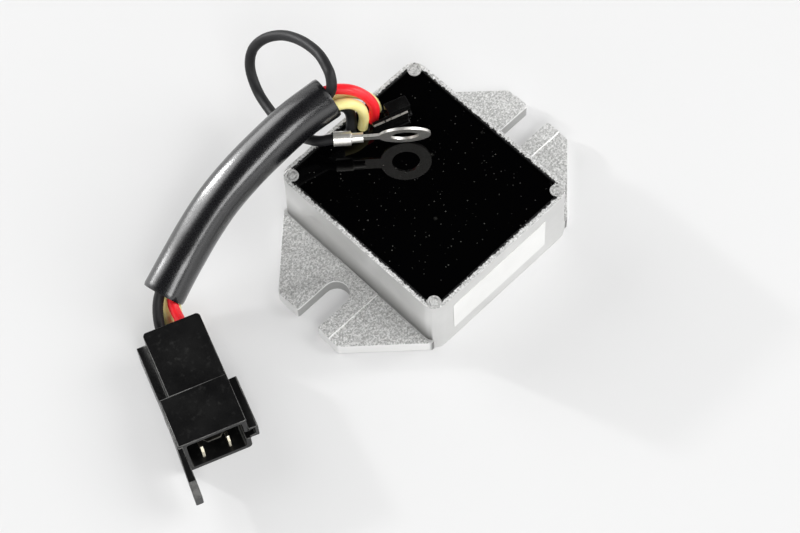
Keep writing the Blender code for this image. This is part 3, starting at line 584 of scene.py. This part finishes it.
def softened(node, name, finish, width, segments, angle=32.0, shortest=None):
    """A copy of a solid that stands for it, with each edge sharper than angle rolled to width."""
    sharp = math.radians(angle)
    mesh = bpy.data.objects[node].data.copy()
    mesh.name = name
    mesh.materials.clear()
    bm = bmesh.new()
    bm.from_mesh(mesh)
    bmesh.ops.remove_doubles(bm, verts=bm.verts, dist=MERGE_WITHIN)
    bmesh.ops.dissolve_limit(bm, angle_limit=FLAT_WITHIN, verts=bm.verts, edges=bm.edges)
    for face in bm.faces:
        face.smooth = True
    if shortest:
        mark_long_edges(bm, sharp, shortest)
    bm.to_mesh(mesh)
    bm.free()
    mesh.set_sharp_from_angle(angle=sharp)
    piece = link_object(name, mesh, [finish])
    roll = piece.modifiers.new("soft edges", "BEVEL")
    roll.width = width
    roll.segments = segments
    roll.limit_method = "WEIGHT" if shortest else "ANGLE"
    roll.angle_limit = sharp
    roll.harden_normals = True
    roll.use_clamp_overlap = not shortest
    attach(piece, "root")
    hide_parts(node)
    print(name, "faces before the bevel:", len(mesh.polygons))


# %% [markdown]
# ## Cast aluminium
# The case came from a die. Its walls are nearly smooth, but the ears and the posts show the fine grain of
# blasting. Height and place tell the two apart. Compound crept up over the rim in places, so next to the
# inner edge the rim turns black and glossy along a ragged line. First we work out where each of these is,
# as shares from 0 to 1.

# %% Zones of the casting
CASE_HALF = (0.0289, 0.0330)
CASE_HEIGHT = 0.0250
CASE_WALL = 0.00185
CASE_DRAFT = 0.0004
POST_AT = (0.0256, 0.0297)
POST_RADIUS = 0.0021
GROOVE_RADIUS = 0.0013


def ear_zones(tree, z, from_y, past_wall, steep):
    """The ears' flat tops, and their cut sides, which are painted pale as if lit, with painted shade inside
    the slot and a painted highlight along the lip.
    """
    top = times(tree, past_wall, ramp(tree, z, 0.0038, 0.0044))
    # the cut sides are painted pale as if lit
    side = times(tree, past_wall, steep, ramp(tree, z, 0.0053, 0.0056, 1.0, 0.0))
    # a painted highlight along the lip of the cut sides
    lip = times(tree, side, ramp(tree, z, 0.0043, 0.0045))
    # painted shade: the pale paint is weaker inside the slot
    side = times(tree, side, ramp(tree, from_y, 0.0044, 0.0047, 0.35, 1.0))
    return top, sums(tree, "MAXIMUM", side, lip)


def post_zones(tree, where, from_x, from_y, on_top):
    """The posts' discs, and a broken groove in each with painted shade in it, from the distance to the
    nearest post's middle.
    """
    post_x = sums(tree, "POWER", sums(tree, "SUBTRACT", from_x, POST_AT[0]), 2.0)
    post_y = sums(tree, "POWER", sums(tree, "SUBTRACT", from_y, POST_AT[1]), 2.0)
    distance = sums(tree, "SQRT", sums(tree, "ADD", post_x, post_y))
    disc = times(tree, ramp(tree, distance, POST_RADIUS, POST_RADIUS + 0.0001, 1.0, 0.0), on_top)
    off_ring = sums(tree, "ABSOLUTE", sums(tree, "SUBTRACT", distance, GROOVE_RADIUS))
    broken = ramp(tree, noise(tree, where, 700.0, 2.0), 0.42, 0.56)
    return disc, times(tree, ramp(tree, off_ring, 0.0001, 0.0004, 1.0, 0.0), disc, broken)


def casting_zones(tree, where):
    """Every zone by name, from a point's place and its normal."""
    at = axes_of(tree, where)
    facing = axes_of(tree, add_node(tree, "ShaderNodeNewGeometry").outputs["Normal"])
    level = ramp(tree, facing["Z"], 0.90, 0.985)
    steep = rest_of(tree, level)
    from_x = sums(tree, "ABSOLUTE", at["X"])
    from_y = sums(tree, "ABSOLUTE", at["Y"])
    out_x = sums(tree, "SUBTRACT", from_x, CASE_HALF[0] - CASE_WALL)
    out_y = sums(tree, "SUBTRACT", from_y, CASE_HALF[1] - CASE_WALL)
    past_wall = ramp(tree, out_x, CASE_WALL - 0.0002, CASE_WALL + 0.0006)
    on_top = ramp(tree, at["Z"], CASE_HEIGHT - 0.0008, CASE_HEIGHT - 0.0005)
    ear_top, ear_side_painted_light = ear_zones(tree, at["Z"], from_y, past_wall, steep)
    post, shaded_groove = post_zones(tree, where, from_x, from_y, on_top)
    # painted shade at the foot of the walls that carry the ears
    on_wall = times(tree, ramp(tree, out_x, CASE_WALL - 0.0010, CASE_WALL - 0.0007), steep)
    foot = times(tree, on_wall, sums(tree, "POWER", ramp(tree, at["Z"], 0.0052, 0.0155, 1.0, 0.0), 1.3))
    # the compound's ragged line on the rim, never on a post or on a face that looks away from the middle
    outward = sums(tree, "MULTIPLY_ADD", facing["X"], at["X"], times(tree, facing["Y"], at["Y"]))
    tide = sums(tree, "MULTIPLY_ADD", noise(tree, where, 1500.0, 4.0, 0.7), 0.0026, -0.0013)
    ragged = sums(tree, "SUBTRACT", sums(tree, "MAXIMUM", out_x, out_y), tide)
    crept = times(tree, ramp(tree, ragged, 0.00020, 0.00032, 1.0, 0.0),
                  ramp(tree, at["Z"], 0.0235, 0.0238), rest_of(tree, post),
                  ramp(tree, outward, 0.002, 0.004, 1.0, 0.0))
    return {"grainy": times(tree, sums(tree, "MAXIMUM", ear_top, on_top), level), "steep": steep,
            "ear_side_painted_light": ear_side_painted_light, "post": post, "shaded_groove": shaded_groove, "foot": foot, "crept": crept}


print("the case's half size:", CASE_HALF, "and its posts at", POST_AT)

# %% [markdown]
# The finish then lays one zone over another: bright metal, the speckle of the blasted faces, painted shade
# in the grooves and at the foot of the walls, the posts, the cut sides painted pale as if lit, and last the
# compound. Bare metal is part mirror and part matt oxide, so the metallic value stays well below 1. The grain
# comes from colour and bump.

# %% Cast aluminium finish
def cast_aluminium():
    made, tree, shader = new_finish("cast aluminium", (0.72, 0.72, 0.71), 0.3, 1.0)
    where = object_coordinates(tree)
    zone = casting_zones(tree, where)
    pits = noise(tree, where, 1000.0, 5.0, 0.80)
    grain = sums(tree, "MULTIPLY_ADD", noise(tree, where, 1700.0, 4.0, 0.75), 0.6, times(tree, pits, 0.4))
    coarse = noise(tree, where, 900.0, 4.0, 0.6)
    patches = ramp(tree, noise(tree, where, 70.0, 3.0), 0.3, 0.7)
    colour = mixed(tree, patches, (0.66, 0.66, 0.65), (0.74, 0.74, 0.73))
    speckled = mixed(tree, ramp(tree, grain, 0.43, 0.58), (0.39, 0.39, 0.38), (0.99, 0.99, 0.98))
    for share, over in ((times(tree, zone["grainy"], 0.9), speckled),
                        # painted shade in the posts' grooves
                        (times(tree, zone["shaded_groove"], 0.8), (0.08, 0.08, 0.08)),
                        # painted shade at the foot of the walls
                        (times(tree, zone["foot"], 0.92), (0.11, 0.11, 0.105)),
                        (times(tree, zone["post"], 0.35), (0.40, 0.40, 0.39)),
                        # the ears' cut sides painted pale as if lit, with a painted highlight along the lip
                        (zone["ear_side_painted_light"], (0.93, 0.93, 0.92)),
                        (zone["crept"], (0.004, 0.004, 0.004))):
        colour = mixed(tree, share, colour, over)
    dull = sums(tree, "MULTIPLY_ADD", zone["steep"], -0.20, 0.54)
    dull = sums(tree, "MULTIPLY_ADD", zone["ear_side_painted_light"], 0.26, dull)
    rough = sums(tree, "SUBTRACT", sums(tree, "MULTIPLY_ADD", zone["grainy"], 0.18, 0.29),
                 times(tree, zone["crept"], 0.16))
    feed(tree, shader, Base_Color=colour, Roughness=rough,
         Metallic=times(tree, rest_of(tree, dull), rest_of(tree, zone["crept"])))
    height = sums(tree, "ADD", times(tree, coarse, 0.06),
                  times(tree, grain, ramp(tree, zone["grainy"], 0.0, 1.0, 0.03, 1.5)))
    bump(tree, shader, sums(tree, "SUBTRACT", height, times(tree, zone["shaded_groove"], 1.2)), 0.00010)
    return made


softened("housing", "case_casting", cast_aluminium(), 0.00032, 3, angle=30.0)

# %% [markdown]
# ## Potting compound
# The compound is poured in as a liquid and sets like a mirror. It creeps up every wall and wire a little,
# in a curve that a small exponential describes well. The top is one height map over the case's inside. The
# grid's lines crowd together where the leads stand, because the curves there are only a fraction of a
# millimetre wide.

# %% Potting surface
POT_TOP = 0.0242
POT_GAP = 0.0001
POT_CORNER = 0.00235
POT_SKIRT = 0.0022
HIGHEST_CREEP = 0.00085
FINE_LINES = 0.00022
COARSE_LINES = 0.0011
CROWDED_X = (-0.0055, 0.0155)
CROWDED_Y_FROM = 0.0170
STAND_TURN = math.radians(-18.6)
STAND_CORNER = np.array([0.0014, 0.0221])
BOARD_SIZE = (0.0113, 0.0016)
# the capacitor's near corner in the board's directions, and its size
BOX_CORNER = (0.0058, 0.0019)
BOX_SIZE = (0.0071, 0.0038)


def crowded(low, high, focus_low, focus_high):
    """Grid lines from low to high, a fine step apart between the focus values and coarse elsewhere."""
    before = np.linspace(low, focus_low, max(2, int((focus_low - low) / COARSE_LINES)) + 1)[:-1]
    middle = np.linspace(focus_low, focus_high, int((focus_high - focus_low) / FINE_LINES) + 1)
    after = np.linspace(focus_high, high, max(2, int((high - focus_high) / COARSE_LINES)) + 1)[1:]
    return np.concatenate([before, middle, after])


def creep(distance, rise, reach):
    """Height of a liquid's edge: rise * exp(-distance / reach)."""
    return rise * np.exp(-np.maximum(distance, 0) / reach)


def box_distance(x, y, corner, along, depth):
    """Distance from the rectangle (0..along, 0..depth) in the board's directions from its corner."""
    c, s = math.cos(STAND_TURN), math.sin(STAND_TURN)
    u = c * (x - corner[0]) + s * (y - corner[1])
    v = -s * (x - corner[0]) + c * (y - corner[1])
    du = np.maximum(np.maximum(-u, u - along), 0)
    dv = np.maximum(np.maximum(-v, v - depth), 0)
    return np.hypot(du, dv)


def potting_top(x, y, half_x, half_y):
    """The level, lifted near the walls, the leads, the upright board and the capacitor, with a slight dip:
    z = level + the sum of the creeps + 0.02 mm * sin(190 x) * cos(160 y)."""
    wall = np.minimum(half_x - np.abs(x), half_y - np.abs(y))
    z = POT_TOP + creep(wall, 0.00004, 0.00035)
    for cx, cy in LEAD_FEET.values():
        z = z + creep(np.hypot(x - cx, y - cy) - LEAD_RADIUS, 0.00055, 0.00040)
    c, s = math.cos(STAND_TURN), math.sin(STAND_TURN)
    behind = STAND_CORNER + np.array([BOX_CORNER[0] * c - BOX_CORNER[1] * s,
                                      BOX_CORNER[0] * s + BOX_CORNER[1] * c])
    for corner, size in ((STAND_CORNER, BOARD_SIZE), (behind, BOX_SIZE)):
        z = z + creep(box_distance(x, y, corner, *size), 0.00045, 0.00035)
    return np.minimum(z, POT_TOP + HIGHEST_CREEP) + 0.00002 * np.sin(x * 190) * np.cos(y * 160)


def potting_grid():
    """The height map on crowded lines. Each row's x is scaled to the case's inside, which has round corners,
    and the bottom is the same grid at one height."""
    half_x = CASE_HALF[0] - CASE_WALL - POT_GAP - CASE_DRAFT
    half_y = CASE_HALF[1] - CASE_WALL - POT_GAP - CASE_DRAFT
    x, y = np.meshgrid(crowded(-half_x, half_x, *CROWDED_X),
                       crowded(-half_y, half_y, CROWDED_Y_FROM, half_y - 0.0002))
    over = np.maximum(np.abs(y) - (half_y - POT_CORNER), 0)
    limit = half_x - POT_CORNER + np.sqrt(np.maximum(POT_CORNER ** 2 - over ** 2, 0))
    x = x * limit / half_x
    top = np.stack([x, y, potting_top(x, y, half_x, half_y)], axis=-1)
    bottom = top.copy()
    bottom[..., 2] = POT_TOP - POT_SKIRT
    return top, bottom


def slab_mesh(name, top, bottom):
    """Two grids with the same lines, one over the other, joined round their edge by a band of quads."""
    rows, columns, _ = top.shape
    quads = grid_quads(rows, columns, False, False)
    count = rows * columns
    edge = np.concatenate([np.arange(columns), np.arange(1, rows) * columns + columns - 1,
                           (rows - 1) * columns + np.arange(columns - 2, -1, -1),
                           np.arange(rows - 2, 0, -1) * columns])
    onward = np.roll(edge, -1)
    band = np.stack([edge, onward, onward + count, edge + count], axis=-1)
    mesh = bpy.data.meshes.new(name)
    mesh.from_pydata(np.concatenate([top.reshape(-1, 3), bottom.reshape(-1, 3)]).tolist(), [],
                     np.concatenate([quads, band, quads[:, ::-1] + count]).tolist())
    return mesh


pot_top, pot_bottom = potting_grid()
potting_mesh = slab_mesh("potting_surface", pot_top, pot_bottom)
tidy_mesh(potting_mesh, 1e-7, 50)
print("potting rows and columns:", pot_top.shape[:2])

# %% [markdown]
# The finish is nearly black, very smooth, and dusty: each speck is a cell of a fine pattern that passes a
# high threshold. Specks are paler and rough, so they show against the mirror. A few larger cells give faint
# smears.

# %% Compound finish
def voronoi(tree, where, scale):
    """Distance from the nearest cell's middle, and that cell's own random colour as three numbers."""
    cells = add_node(tree, "ShaderNodeTexVoronoi", {"Vector": where, "Scale": scale, "Randomness": 1.0})
    pick = add_node(tree, "ShaderNodeSeparateColor", {"Color": cells.outputs["Color"]}).outputs
    return cells.outputs["Distance"], pick


def compound_finish():
    made, tree, shader = new_finish("potting compound", (0.0005, 0.0005, 0.0006), 0.035, 0.0, 0.15)
    where = object_coordinates(tree)
    shape = ramp(tree, noise(tree, where, 2600.0, 2.0), 0.40, 0.52)
    distance, pick = voronoi(tree, where, 1000.0)
    chosen = times(tree, ramp(tree, pick["Red"], 0.82, 0.83), ramp(tree, pick["Green"], 0.0, 1.0, 0.08, 0.8))
    speck = times(tree, chosen, ramp(tree, distance, 0.10, 0.26, 1.0, 0.0), shape)
    distance, pick = voronoi(tree, where, 190.0)
    smear = times(tree, ramp(tree, pick["Green"], 0.94, 0.95), ramp(tree, distance, 0.02, 0.14, 0.25, 0.0),
                  shape)
    dust = sums(tree, "MAXIMUM", speck, smear)
    feed(tree, shader, Base_Color=mixed(tree, dust, (0.0006, 0.0006, 0.0007), (0.10, 0.10, 0.09)),
         Roughness=ramp(tree, dust, 0.0, 0.3, 0.035, 0.55))
    bump(tree, shader, noise(tree, where, 60.0, 2.0), 0.00003, 0.25)
    return made


potting = link_object("potting_surface", potting_mesh, [compound_finish()])
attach(potting, "root")
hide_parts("potting")
print("compound poured to", POT_TOP * 1000, "mm")

# %% [markdown]
# ## The label
# A plain white plastic film on the near wall, with square corners and a slightly warm white. The solid is
# right as it is, so it stays and only gets a finish.

# %% Label
def dress(node, finish):
    """Gives a solid that stays as it is its finish."""
    obj = bpy.data.objects[node]
    if not obj.material_slots:
        obj.data.materials.append(finish)
    for item in obj.material_slots:
        item.material = finish
    print(node, "is now", finish.name)


dress("label", varied("label film", (0.79, 0.79, 0.775), (0.84, 0.84, 0.825), roughness=0.34, spread=0.04,
                      scale=60.0, grain=900.0, depth=0.000006))

# %% [markdown]
# ## What stands out of the compound
# A thin board on edge carries a box capacitor. Both were dipped with the rest, so they are coated black
# and shine. A fine light line is painted on the near half of the board's top edge as a highlight. The board
# stands at an angle, so its finish reads coordinates that are moved and turned to the board's own corner.

# %% Board and capacitor
# the board's corner, turned into the board's own directions and negated
STAND_PLACE = (-(math.cos(STAND_TURN) * STAND_CORNER[0] + math.sin(STAND_TURN) * STAND_CORNER[1]),
               -(math.cos(STAND_TURN) * STAND_CORNER[1] - math.sin(STAND_TURN) * STAND_CORNER[0]), 0.0)


def board_edge_finish():
    made, tree, shader = new_finish("board with bare edge", (0.006, 0.006, 0.006), 0.2, 0.0, 0.2)
    where = object_coordinates(tree)
    turned = add_node(tree, "ShaderNodeMapping", {"Vector": where, "Location": STAND_PLACE,
                                                  "Rotation": (0.0, 0.0, -STAND_TURN)}).outputs["Vector"]
    near_side = ramp(tree, axes_of(tree, turned)["Y"], 0.00045, 0.00060, 1.0, 0.0)
    broken = ramp(tree, noise(tree, where, 900.0, 3.0), 0.40, 0.50)
    # a painted highlight: a pale broken line on the near half of the top edge
    painted_highlight = times(tree, ramp(tree, axes_of(tree, where)["Z"], 0.02880, 0.02890), broken, near_side)
    feed(tree, shader, Base_Color=mixed(tree, painted_highlight, (0.005, 0.005, 0.005), (0.28, 0.27, 0.25)),
         Roughness=ramp(tree, painted_highlight, 0.0, 1.0, 0.16, 0.5))
    bump(tree, shader, noise(tree, where, 1200.0, 3.0), 0.00004)
    return made


coated = varied("coated part", (0.003, 0.003, 0.003), (0.007, 0.007, 0.007), roughness=0.14, spread=0.05,
                scale=200.0, grain=1500.0, depth=0.00003, specular=0.22)
softened("side_board", "side_board_edge", board_edge_finish(), 0.00015, 2)
softened("capacitor", "capacitor_case", coated, 0.00045, 3)

# %% [markdown]
# ## Ring terminal and blades
# All are stamped from tinned sheet. Tin is bright and soft, so it is a little scratched and its shine
# changes over short distances. The top blade lies deep under the hood, so its tin gets painted shade from the
# hood.

# %% Tinned metal
def tinned(name, colour, other, roughness, metallic=1.0):
    made, tree, shader = new_finish(name, colour, roughness, metallic)
    where = object_coordinates(tree)
    stretched = add_node(tree, "ShaderNodeMapping", {"Vector": where, "Rotation": (0.4, 0.9, 0.7),
                                                     "Scale": (1.0, 1.0, 6.0)}).outputs["Vector"]
    patches = ramp(tree, noise(tree, where, 260.0, 3.0), 0.38, 0.62)
    scratches = noise(tree, stretched, 900.0, 5.0, 0.7)
    feed(tree, shader, Base_Color=mixed(tree, patches, colour, other),
         Roughness=ramp(tree, scratches, 0.3, 0.7, roughness - 0.05, roughness + 0.08))
    bump(tree, shader, scratches, 0.000009)
    return made


tin = tinned("tinned ring", (0.95, 0.93, 0.89), (0.86, 0.84, 0.79), 0.30, 0.82)
blade_tin = tinned("tinned blade", (0.90, 0.86, 0.72), (0.78, 0.72, 0.56), 0.26)
# the top blade's tin is painted dark: painted shade under the hood
painted_shade_tin = tinned("tarnished blade", (0.10, 0.095, 0.08), (0.05, 0.047, 0.04), 0.40)
softened("ring_terminal", "ring_terminal_stamped", tin, 0.00022, 3)
for blade, finish in (("blade_left", blade_tin), ("blade_right", blade_tin), ("blade_top", painted_shade_tin)):
    softened(blade, blade + "_stamped", finish, 0.00012, 2)

# %% [markdown]
# ## The plug
# A moulded nylon plug has a satin skin. Its rolled edges get a patchy painted highlight, and the flat faces
# have faint flow marks. A rolled edge is where the normal leans, so its height tells where the highlight
# goes.

# %% Plug
def plug_finish():
    made, tree, shader = new_finish("moulded black nylon", (0.004, 0.004, 0.004), 0.32, 0.0, 0.35)
    where = object_coordinates(tree)
    patches = noise(tree, where, 110.0, 4.0, 0.6)
    marks = ramp(tree, noise(tree, where, 420.0, 5.0, 0.7), 0.56, 0.74)
    lean = axes_of(tree, add_node(tree, "ShaderNodeNewGeometry").outputs["Normal"])["Z"]
    edge = times(tree, ramp(tree, lean, 0.12, 0.40), ramp(tree, lean, 0.88, 0.97, 1.0, 0.0))
    # a painted highlight on the rolled edges, broken into patches
    edge_highlight = times(tree, edge, ramp(tree, noise(tree, where, 350.0, 4.0, 0.65), 0.36, 0.62, 0.25, 1.0))
    colour = mixed(tree, ramp(tree, patches, 0.35, 0.7), (0.0025, 0.0025, 0.0027), (0.0050, 0.0050, 0.0050))
    colour = mixed(tree, times(tree, marks, 0.5), colour, (0.035, 0.035, 0.034))
    colour = mixed(tree, edge_highlight, colour, (0.12, 0.12, 0.115))
    feed(tree, shader, Base_Color=colour, Roughness=ramp(tree, patches, 0.3, 0.7, 0.28, 0.36))
    bump(tree, shader, noise(tree, where, 1700.0, 3.0, 0.6), 0.00003)
    return made


softened("plug_housing", "plug_moulding", plug_finish(), 0.00035, 3, shortest=0.0009)

# %% [markdown]
# ## Parts under the compound
# They can't be seen here, but anyone who takes the model apart will meet them, so they get their finishes.

# %% Hidden parts
# nodes, then the name, two colours, roughness, spread, scale, grain and depth of their finish
HIDDEN = (
    (("thyristor_1", "thyristor_2", "diode_1", "diode_2"),
     ("moulded package", (0.020, 0.020, 0.021), (0.032, 0.032, 0.033), 0.5, 0.08, 300.0, 2500.0, 0.00003)),
    (("thermal_pad",),
     ("thermal pad", (0.42, 0.44, 0.47), (0.50, 0.51, 0.53), 0.8, 0.05, 200.0, 1800.0, 0.00003)),
    (("circuit_board",),
     ("board laminate", (0.015, 0.085, 0.035), (0.022, 0.115, 0.05), 0.4, 0.06, 150.0, 1400.0, 0.00001)),
    (("zener_diode",),
     ("diode glass", (0.35, 0.10, 0.05), (0.45, 0.15, 0.08), 0.2, 0.05, 400.0, 1800.0, 0.00001)),
    (("resistor",),
     ("resistor lacquer", (0.50, 0.38, 0.22), (0.58, 0.45, 0.28), 0.4, 0.06, 400.0, 1800.0, 0.00002)),
)
for nodes, settings in HIDDEN:
    finish = varied(*settings)
    for node in nodes:
        dress(node, finish)

# %% [markdown]
# ## The cords
# Four leads leave the compound and end in the plug. The loose one leaves the plug and ends in the ring
# terminal.


# %% [markdown]
# ## The floor
# The floor is a matt grey with some glow of its own, for the camera and for mirrored rays only: that makes
# it near white in the picture without more light on the object, and it keeps the shadow.

# %% Floor
HALF_FLOOR = 2.0
FLOOR_DROP = 0.0002
FLOOR_GLOW = 0.30

floor_mesh = bpy.data.meshes.new("floor")
floor_mesh.from_pydata([(x * HALF_FLOOR, y * HALF_FLOOR, 0) for x, y in ((-1, -1), (1, -1), (1, 1), (-1, 1))],
                       [], [(0, 1, 2, 3)])
floor_paint, floor_tree, floor_shader = new_finish("pale floor", (0.485, 0.485, 0.485), 0.7, 0.0, 0.2)
rays = add_node(floor_tree, "ShaderNodeLightPath").outputs
mirrored = sums(floor_tree, "MAXIMUM", rays["Is Glossy Ray"], rays["Is Transmission Ray"])
seen = sums(floor_tree, "MAXIMUM", rays["Is Camera Ray"], mirrored)
lift = add_node(floor_tree, "ShaderNodeEmission", {"Color": (1.0, 1.0, 1.0, 1.0),
                                                   "Strength": times(floor_tree, seen, FLOOR_GLOW)})
both = add_node(floor_tree, "ShaderNodeAddShader", {0: floor_shader.outputs[0], 1: lift.outputs[0]})
floor_tree.links.new(both.outputs[0], floor_tree.nodes["Material Output"].inputs["Surface"])
floor = link_object("floor", floor_mesh, [floor_paint])
floor.location.z = -FLOOR_DROP
print("floor:", 2 * HALF_FLOOR, "m wide")

# %% [markdown]
# ## Sky
# The compound shows nothing but dark, so the sky is black high up and bright near the horizon, most of all
# on the camera's side.

# %% Sky
CAMERA_SIDE = (-0.665, -0.747)

world = bpy.data.worlds.new("studio")
bpy.context.scene.world = world
world.use_nodes = True
sky = world.node_tree
background = sky.nodes["Background"]
background.inputs["Color"].default_value = (1.0, 1.0, 1.0, 1.0)
way = axes_of(sky, add_node(sky, "ShaderNodeTexCoord").outputs["Generated"])
camera_side = sums(sky, "MULTIPLY_ADD", way["X"], CAMERA_SIDE[0], times(sky, way["Y"], CAMERA_SIDE[1]))
front = ramp(sky, camera_side, -0.2, 0.8, 0.65, 1.0)
low = ramp(sky, way["Z"], 0.34, 0.58, 1.0, 0.0)
strength = sums(sky, "MULTIPLY_ADD", times(sky, front, low), 1.45, 0.01)
sky.links.new(strength, background.inputs["Strength"])
print("sky nodes:", len(sky.nodes))

# %% [markdown]
# ## Lamps
# The shadows tell where the lamps were. A long, crisp shadow runs to the right and towards us, so a small
# lamp stands low on the left, beside a broad one that draws the streak on the sleeve. A soft shadow left of
# the plug comes from a broad lamp on the right, which also lights the back ears while the case shades the
# front ones.

# %% Lamps
LAMP_AIM = np.array((-0.02, 0.0, 0.01))
# name, heading and elevation in degrees, distance, size, brightness of the face
LAMPS = (("main", 239.0, 46.0, 1.6, 0.60, 8.0),
         ("left", 105.0, 29.0, 1.8, 1.20, 3.7),
         ("small left", 109.0, 19.0, 1.8, 0.10, 420.0),
         ("right", 321.0, 40.0, 1.8, 1.10, 5.3),
         ("overhead", -27.0, 70.0, 1.4, 0.65, 1.0))


def softbox(name, heading, elevation, distance, size, level):
    """A square area lamp that looks at the aim. Its power is level * pi * size^2."""
    data = bpy.data.lights.new(name, "AREA")
    data.shape = "SQUARE"
    data.size = size
    data.energy = level * math.pi * size * size
    lamp = bpy.data.objects.new(name, data)
    bpy.context.scene.collection.objects.link(lamp)
    z_axis = towards(math.radians(heading), math.radians(elevation))
    x_axis = unit(np.cross(UPWARDS, z_axis))
    lamp.matrix_world = placed(x_axis, np.cross(z_axis, x_axis), z_axis, LAMP_AIM + z_axis * distance)


for lamp in LAMPS:
    softbox(*lamp)
bpy.context.scene.view_settings.view_transform = "Standard"
